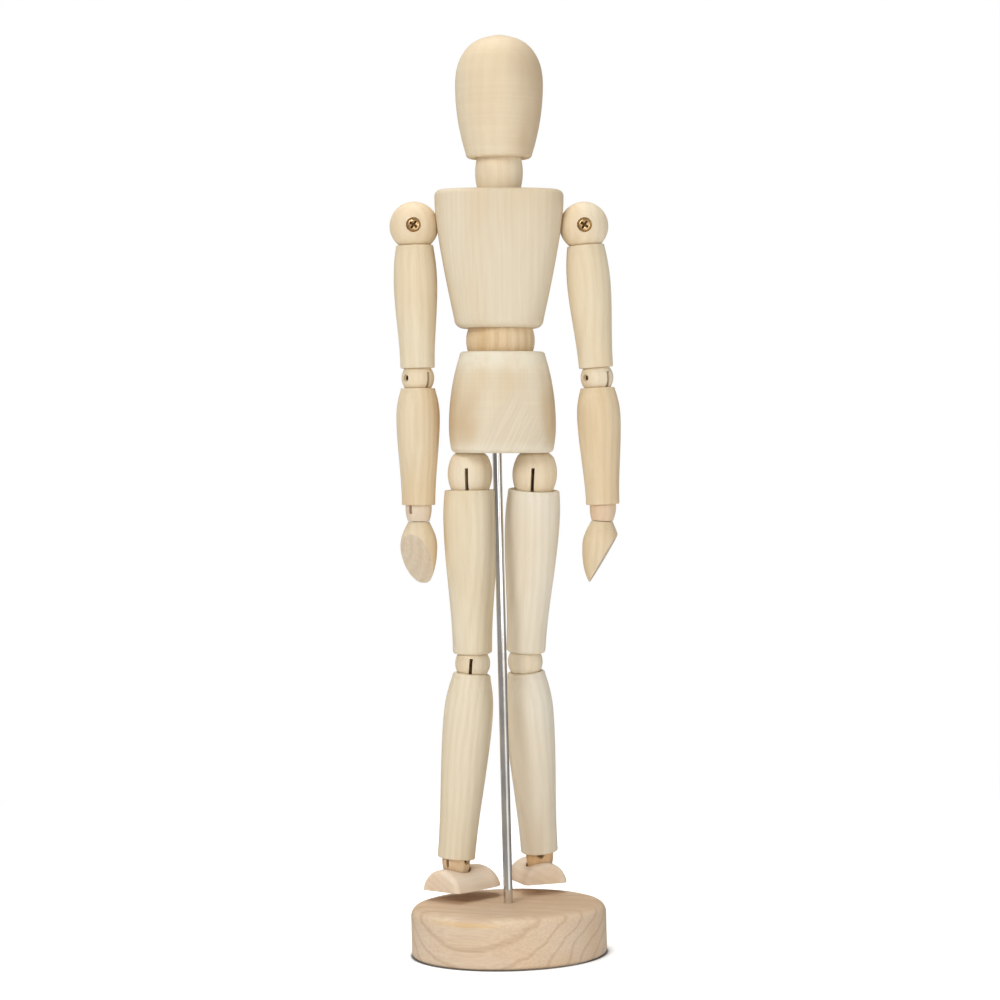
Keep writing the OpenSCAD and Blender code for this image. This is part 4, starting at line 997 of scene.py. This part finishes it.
# %% Metals
STAIN_SIZE, STAIN_RANGE = (0.25, 0.25, 0.06), (0.35, 0.75)
DRAWN, PLAIN = (1.0, 1.0, 0.05), (1, 1, 1)
LINE_RANGE = (0.3, 0.7)
METAL_BUMP, METAL_BUMP_DEEP = 0.1, 0.01


def metal(name, clean, stained, rough, rough_more, scratch, along=DRAWN):
    """One metal; its colours are screen colours and scratch is in lines a millimetre."""
    mat, tree, shader = new_material(name)
    where = object_mm(tree)
    lines = stretched_noise(tree, where, tuple(scratch * a for a in along), detail=3.0, rough=0.6)
    stain = spread(tree, stretched_noise(tree, where, STAIN_SIZE, detail=3.0, rough=0.55), *STAIN_RANGE)
    link(tree, blend_colour(tree, stain, srgb(*clean), srgb(*stained)), shader.inputs["Base Color"])
    roughness = maths(tree, "MULTIPLY_ADD", spread(tree, lines, *LINE_RANGE), rough_more, rough)
    link(tree, roughness, shader.inputs["Roughness"])
    add_bump(tree, shader, lines, METAL_BUMP, METAL_BUMP_DEEP)
    shader.inputs["Metallic"].default_value = 1.0
    return mat


rod_steel = metal("rod steel", (216, 211, 205), (190, 184, 177), rough=0.06, rough_more=0.08, scratch=5.0)
inner_steel = metal("spring steel", (196, 196, 194), (150, 146, 140), rough=0.28, rough_more=0.2, scratch=4.0)
pin_steel = metal("dull pin steel", (112, 86, 62), (66, 46, 32), rough=0.4, rough_more=0.2, scratch=4.0)
brass = metal("brass", (232, 200, 148), (190, 152, 104), rough=0.2, rough_more=0.2, scratch=6.0, along=PLAIN)
# The darker brass is painted shade for the recess inside each screw's cross.
cross_shade_brass = metal("cross shade brass", (126, 94, 58), (88, 62, 36), rough=0.5, rough_more=0.2, scratch=6.0,
                  along=PLAIN)
print("metals:", [m.name for m in (rod_steel, inner_steel, pin_steel, brass, cross_shade_brass)])

# %% [markdown]
# ## Screws
#
# A cross-head screw holds each arm, and the inside of its cross is painted darker, as painted shade in the
# recess. The
# CAD node already has the shape, so it is drawn from there, and only the faces inside the cross get the
# darker brass.
# A dark texture would blur at the cross's edges, and a second material on the faces doesn't.

# %% Shoulder screws
HEAD_DEEP, CROSS_DEEP, CROSS_WALLS, CROSS_REACH = 1.0, 0.6, 0.85, 0.8
WALL_LEAN = 0.3
for side in SIDES:
    node = f"{side}_shoulder_fittings"
    at = joint_frame(f"{side}_arm_raise", (0, -1, 0))
    screw = bmesh.new()
    screw.from_mesh(frame["nodes"][node].data)
    screw.transform(at.inverted())
    bmesh.ops.remove_doubles(screw, verts=screw.verts[:], dist=WELD)
    front = max(v.co.z for v in screw.verts)
    head_r = max(v.co.xy.length for v in screw.verts if v.co.z > front - HEAD_DEEP)
    for face in screw.faces:
        spot, n = face.calc_center_median(), face.normal
        in_head = spot.xy.length < head_r * CROSS_REACH
        is_floor = n.z > LEVEL and front - HEAD_DEEP < spot.z < front - CROSS_DEEP
        is_wall = abs(n.z) < WALL_LEAN and spot.z > front - CROSS_WALLS
        # Faces inside the cross get the second, darker brass: painted shade in the recess.
        face.material_index = int(in_head and (is_floor or is_wall))
    dark = sum(face.material_index for face in screw.faces)
    obj = keep_piece(screw, f"{side}_shoulder_screw", at, f"{side}_shoulder_ball", node, brass)
    obj.data.materials.append(cross_shade_brass)
    print(node, "head", round(2 * head_r, 2), "mm wide,", dark, "faces in the cross")

# %% [markdown]
# ## Kept CAD nodes
#
# The slotted balls, the springs and the pins are small and round enough in the CAD, so they stay as they are.
# Drawing them again would gain nothing that shows. Each only takes a material.

# %% Balls, springs and pins
ball_woods = {"waist_ball": waist_wood, "neck_ball": ball_wood}
for side in SIDES:
    for joint in ("shoulder", "elbow", "hip", "knee"):
        ball_woods[f"{side}_{joint}_ball"] = ball_wood
    ball_woods[f"{side}_wrist_ball"] = wrist_wood
    ball_woods[f"{side}_ankle_ball"] = ankle_wood
stood_for = {n for obj in made for n in obj["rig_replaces"]}
for name, obj in frame["nodes"].items():
    if name in stood_for:
        continue
    metal_here = pin_steel if name.endswith(("_fittings", "_pin")) else inner_steel
    mat = rod_steel if name == "support_rod" else ball_woods.get(name, metal_here)
    for place in obj.material_slots:
        place.link = "OBJECT"
        place.material = mat
print(len(made), "pieces made,", len(frame["nodes"]) - len(stood_for), "CAD nodes kept")

# %% [markdown]
# ## Lamps
#
# A product photograph has soft light, so the lamps are large discs: a key light from the front left, a fill
# from the right, a broad one from above and a low one in front. One sun would be simpler, but its shadows
# are hard. A narrow strip at the right gives the polished rod a bright line.

# %% Lamps
MIDDLE, LOW_MIDDLE = (0, 0, 0.15), (0, 0, 0.06)
STRIP_TALL = 0.7


def area_light(name, where, aim, size, power):
    """A soft round lamp; sizes in metres, power in watts."""
    data = bpy.data.lights.new(name, "AREA")
    data.shape, data.size, data.energy = "DISK", size, power
    lamp = bpy.data.objects.new(name, data)
    bpy.context.scene.collection.objects.link(lamp)
    lamp.location = where
    lamp.rotation_euler = (Vector(aim) - Vector(where)).to_track_quat("-Z", "Y").to_euler()
    return lamp


area_light("key", (-0.7, -1.25, 1.05), MIDDLE, size=0.9, power=12.8)
area_light("fill", (0.95, -0.75, 0.35), MIDDLE, size=0.7, power=1.6)
area_light("top", (-0.12, 0.25, 1.65), MIDDLE, size=1.5, power=19.5)
area_light("front", (0.15, -1.4, 0.2), LOW_MIDDLE, size=0.5, power=1.5)
strip = area_light("rod strip", (0.62, -0.85, 0.12), MIDDLE, size=0.1, power=0.5)
strip.data.shape, strip.data.size_y = "RECTANGLE", STRIP_TALL
print("lamps:", [lamp.name for lamp in bpy.data.lights])

# %% [markdown]
# ## Floor
#
# The figure stands on white paper that keeps its shadow and turns to plain white further off. A curved
# backdrop would do that too, but plain white there needs more light, and the wood would get it too. So a
# glow that only the camera sees lifts the paper near the base, and a white glow takes over further off.
# Close to the base a dark ring is painted on the paper as a painted contact shadow. For glossy rays the paper
# glows grey instead, with one bright stretch in front at the right: a painted reflection in the polished rod.

# %% Paper floor
# Distances are in metres from the middle of the base, and angles in radians from the front.
FLOOR_HALF, PAPER_ROUGH = 4.0, 0.85
# The thin dark ring on the paper at the base's edge is a painted contact shadow.
PAINTED_CONTACT_SHADOW, CONTACT_SHADOW_DARK, PAPER_PALE = (0.0325, 0.0333), 0.15, 0.93
UNDER_BASE, BESIDE_BASE, FLOOR_LIFT = 0.0315, 0.036, 0.42
FLOOR_NEAR, FLOOR_FAR = 0.16, 0.5
# These set the paper's glow that only glossy rays see: a painted reflection in the rod.
SHINE_FROM, SHINE_EDGES, BEHIND = 0.6, (0.22, 0.5), (1.5, 2.3)
FLOOR_SHINE, FLOOR_GREY, FLOOR_BEHIND = 1.3, 0.42, 0.2
WHITE = (1, 1, 1, 1)


def rod_reflection_glow(tree, where):
    """How bright the paper glows for glossy rays, as a painted reflection in the rod, by the angle round the
    base from the front to the right.
    """
    x, y, _ = split_axes(tree, where)
    turn = maths(tree, "ARCTAN2", x, maths(tree, "MULTIPLY", y, -1.0))
    off_shine = maths(tree, "ABSOLUTE", maths(tree, "SUBTRACT", turn, SHINE_FROM))
    shine = spread(tree, off_shine, *SHINE_EDGES, FLOOR_SHINE, FLOOR_GREY)
    behind = spread(tree, maths(tree, "ABSOLUTE", turn), *BEHIND, 1.0, FLOOR_BEHIND)
    return maths(tree, "MULTIPLY", shine, behind)


def white_paper():
    mat, tree, sheet = new_material("paper")
    sheet.inputs["Roughness"].default_value = PAPER_ROUGH
    where = new_node(tree, "ShaderNodeTexCoord").outputs["Object"]
    length = new_node(tree, "ShaderNodeVectorMath", operation="LENGTH")
    link(tree, where, length.inputs[0])
    away = length.outputs["Value"]
    # The paper is dark in a thin ring at the base's edge: a painted contact shadow.
    link(tree, spread(tree, away, *PAINTED_CONTACT_SHADOW, CONTACT_SHADOW_DARK, PAPER_PALE), sheet.inputs["Base Color"])

    rays = new_node(tree, "ShaderNodeLightPath").outputs
    lift, lifted = new_node(tree, "ShaderNodeEmission"), new_node(tree, "ShaderNodeAddShader")
    lift.inputs["Color"].default_value = WHITE
    beside = spread(tree, away, UNDER_BASE, BESIDE_BASE, 0.0, FLOOR_LIFT)
    link(tree, maths(tree, "MULTIPLY", rays["Is Camera Ray"], beside), lift.inputs["Strength"])
    link(tree, sheet.outputs[0], lifted.inputs[0])
    link(tree, lift.outputs[0], lifted.inputs[1])

    # Glossy rays see only a glow on the paper: a painted reflection in the rod.
    mirrored = rays["Is Glossy Ray"]
    glow, fade = new_node(tree, "ShaderNodeEmission"), new_node(tree, "ShaderNodeMixShader")
    change = maths(tree, "SUBTRACT", rod_reflection_glow(tree, where), 1.0)
    link(tree, maths(tree, "MULTIPLY_ADD", mirrored, change, 1.0), glow.inputs["Strength"])
    link(tree, maths(tree, "MAXIMUM", mirrored, spread(tree, away, FLOOR_NEAR, FLOOR_FAR)), fade.inputs[0])
    link(tree, lifted.outputs[0], fade.inputs[1])
    link(tree, glow.outputs[0], fade.inputs[2])
    link(tree, fade.outputs[0], tree.nodes["Material Output"].inputs[0])
    return mat


floor_bm = bmesh.new()
bmesh.ops.create_grid(floor_bm, x_segments=1, y_segments=1, size=FLOOR_HALF)
floor = loose(floor_bm, "floor")
floor.data.materials.append(white_paper())
print("floor", 2 * FLOOR_HALF, "m wide, plain white from", FLOOR_FAR, "m")

# %% [markdown]
# ## Surround
#
# The camera sees white all round, and that white adds no light to the wood: other rays see a dim sky. A
# white world of full strength would be simpler, but it would wash the wood out. The rod mirrors a grey
# room.

# %% White surround
SOFT_WORLD, MIRROR_WORLD = 0.16, 0.21
SKY = (0.95, 0.97, 1.0, 1)


def white_surround():
    world = bpy.data.worlds.new("white surround")
    world.use_nodes = True
    tree = world.node_tree
    tree.nodes.clear()
    soft, white = (new_node(tree, "ShaderNodeBackground") for _ in range(2))
    soft.inputs["Color"].default_value = SKY
    white.inputs["Color"].default_value = WHITE
    white.inputs["Strength"].default_value = 1.0
    rays = new_node(tree, "ShaderNodeLightPath").outputs
    dim = maths(tree, "MULTIPLY_ADD", rays["Is Glossy Ray"], MIRROR_WORLD - SOFT_WORLD, SOFT_WORLD)
    link(tree, dim, soft.inputs["Strength"])
    mix = new_node(tree, "ShaderNodeMixShader")
    link(tree, rays["Is Camera Ray"], mix.inputs[0])
    link(tree, soft.outputs[0], mix.inputs[1])
    link(tree, white.outputs[0], mix.inputs[2])
    link(tree, mix.outputs[0], new_node(tree, "ShaderNodeOutputWorld").inputs[0])
    return world


bpy.context.scene.world = white_surround()
print("world:", bpy.context.scene.world.name)

# %% [markdown]
# ## Camera
#
# The photo is taken from a little above the hands, nearly a metre away, with a long lens.
# It looks slightly down and is rolled a little, so that the rod leans to the left in the picture.
# A camera that tracks a target would be easier to set, but it stays level, so this one is set by angles.

# %% Camera
# The place is in millimetres, the angles are in degrees, and what the camera sees from and to is in metres.
CAMERA_X, CAMERA_BACK, CAMERA_UP = 0.6, 950.0, 173.9
LOOK_DOWN, ROLL = 1.377, -1.45
LENS, SENSOR = 103.0, 36.0
SEE_FROM, SEE_TO = 0.05, 50
cam_data = bpy.data.cameras.new("camera")
cam_data.lens, cam_data.sensor_width, cam_data.sensor_fit = LENS, SENSOR, "HORIZONTAL"
cam_data.clip_start, cam_data.clip_end = SEE_FROM, SEE_TO
camera = bpy.data.objects.new("camera", cam_data)
bpy.context.scene.collection.objects.link(camera)
stands = Matrix.Translation(Vector((CAMERA_X, -CAMERA_BACK, CAMERA_UP)) * MM)
tilt = Matrix.Rotation(math.radians(90 - LOOK_DOWN), 4, "X")
camera.matrix_world = stands @ tilt @ Matrix.Rotation(math.radians(ROLL), 4, "Z")
bpy.context.scene.camera = camera
bpy.context.scene.view_settings.view_transform = "Standard"
print("camera", CAMERA_BACK, "mm in front, lens", LENS, "mm")
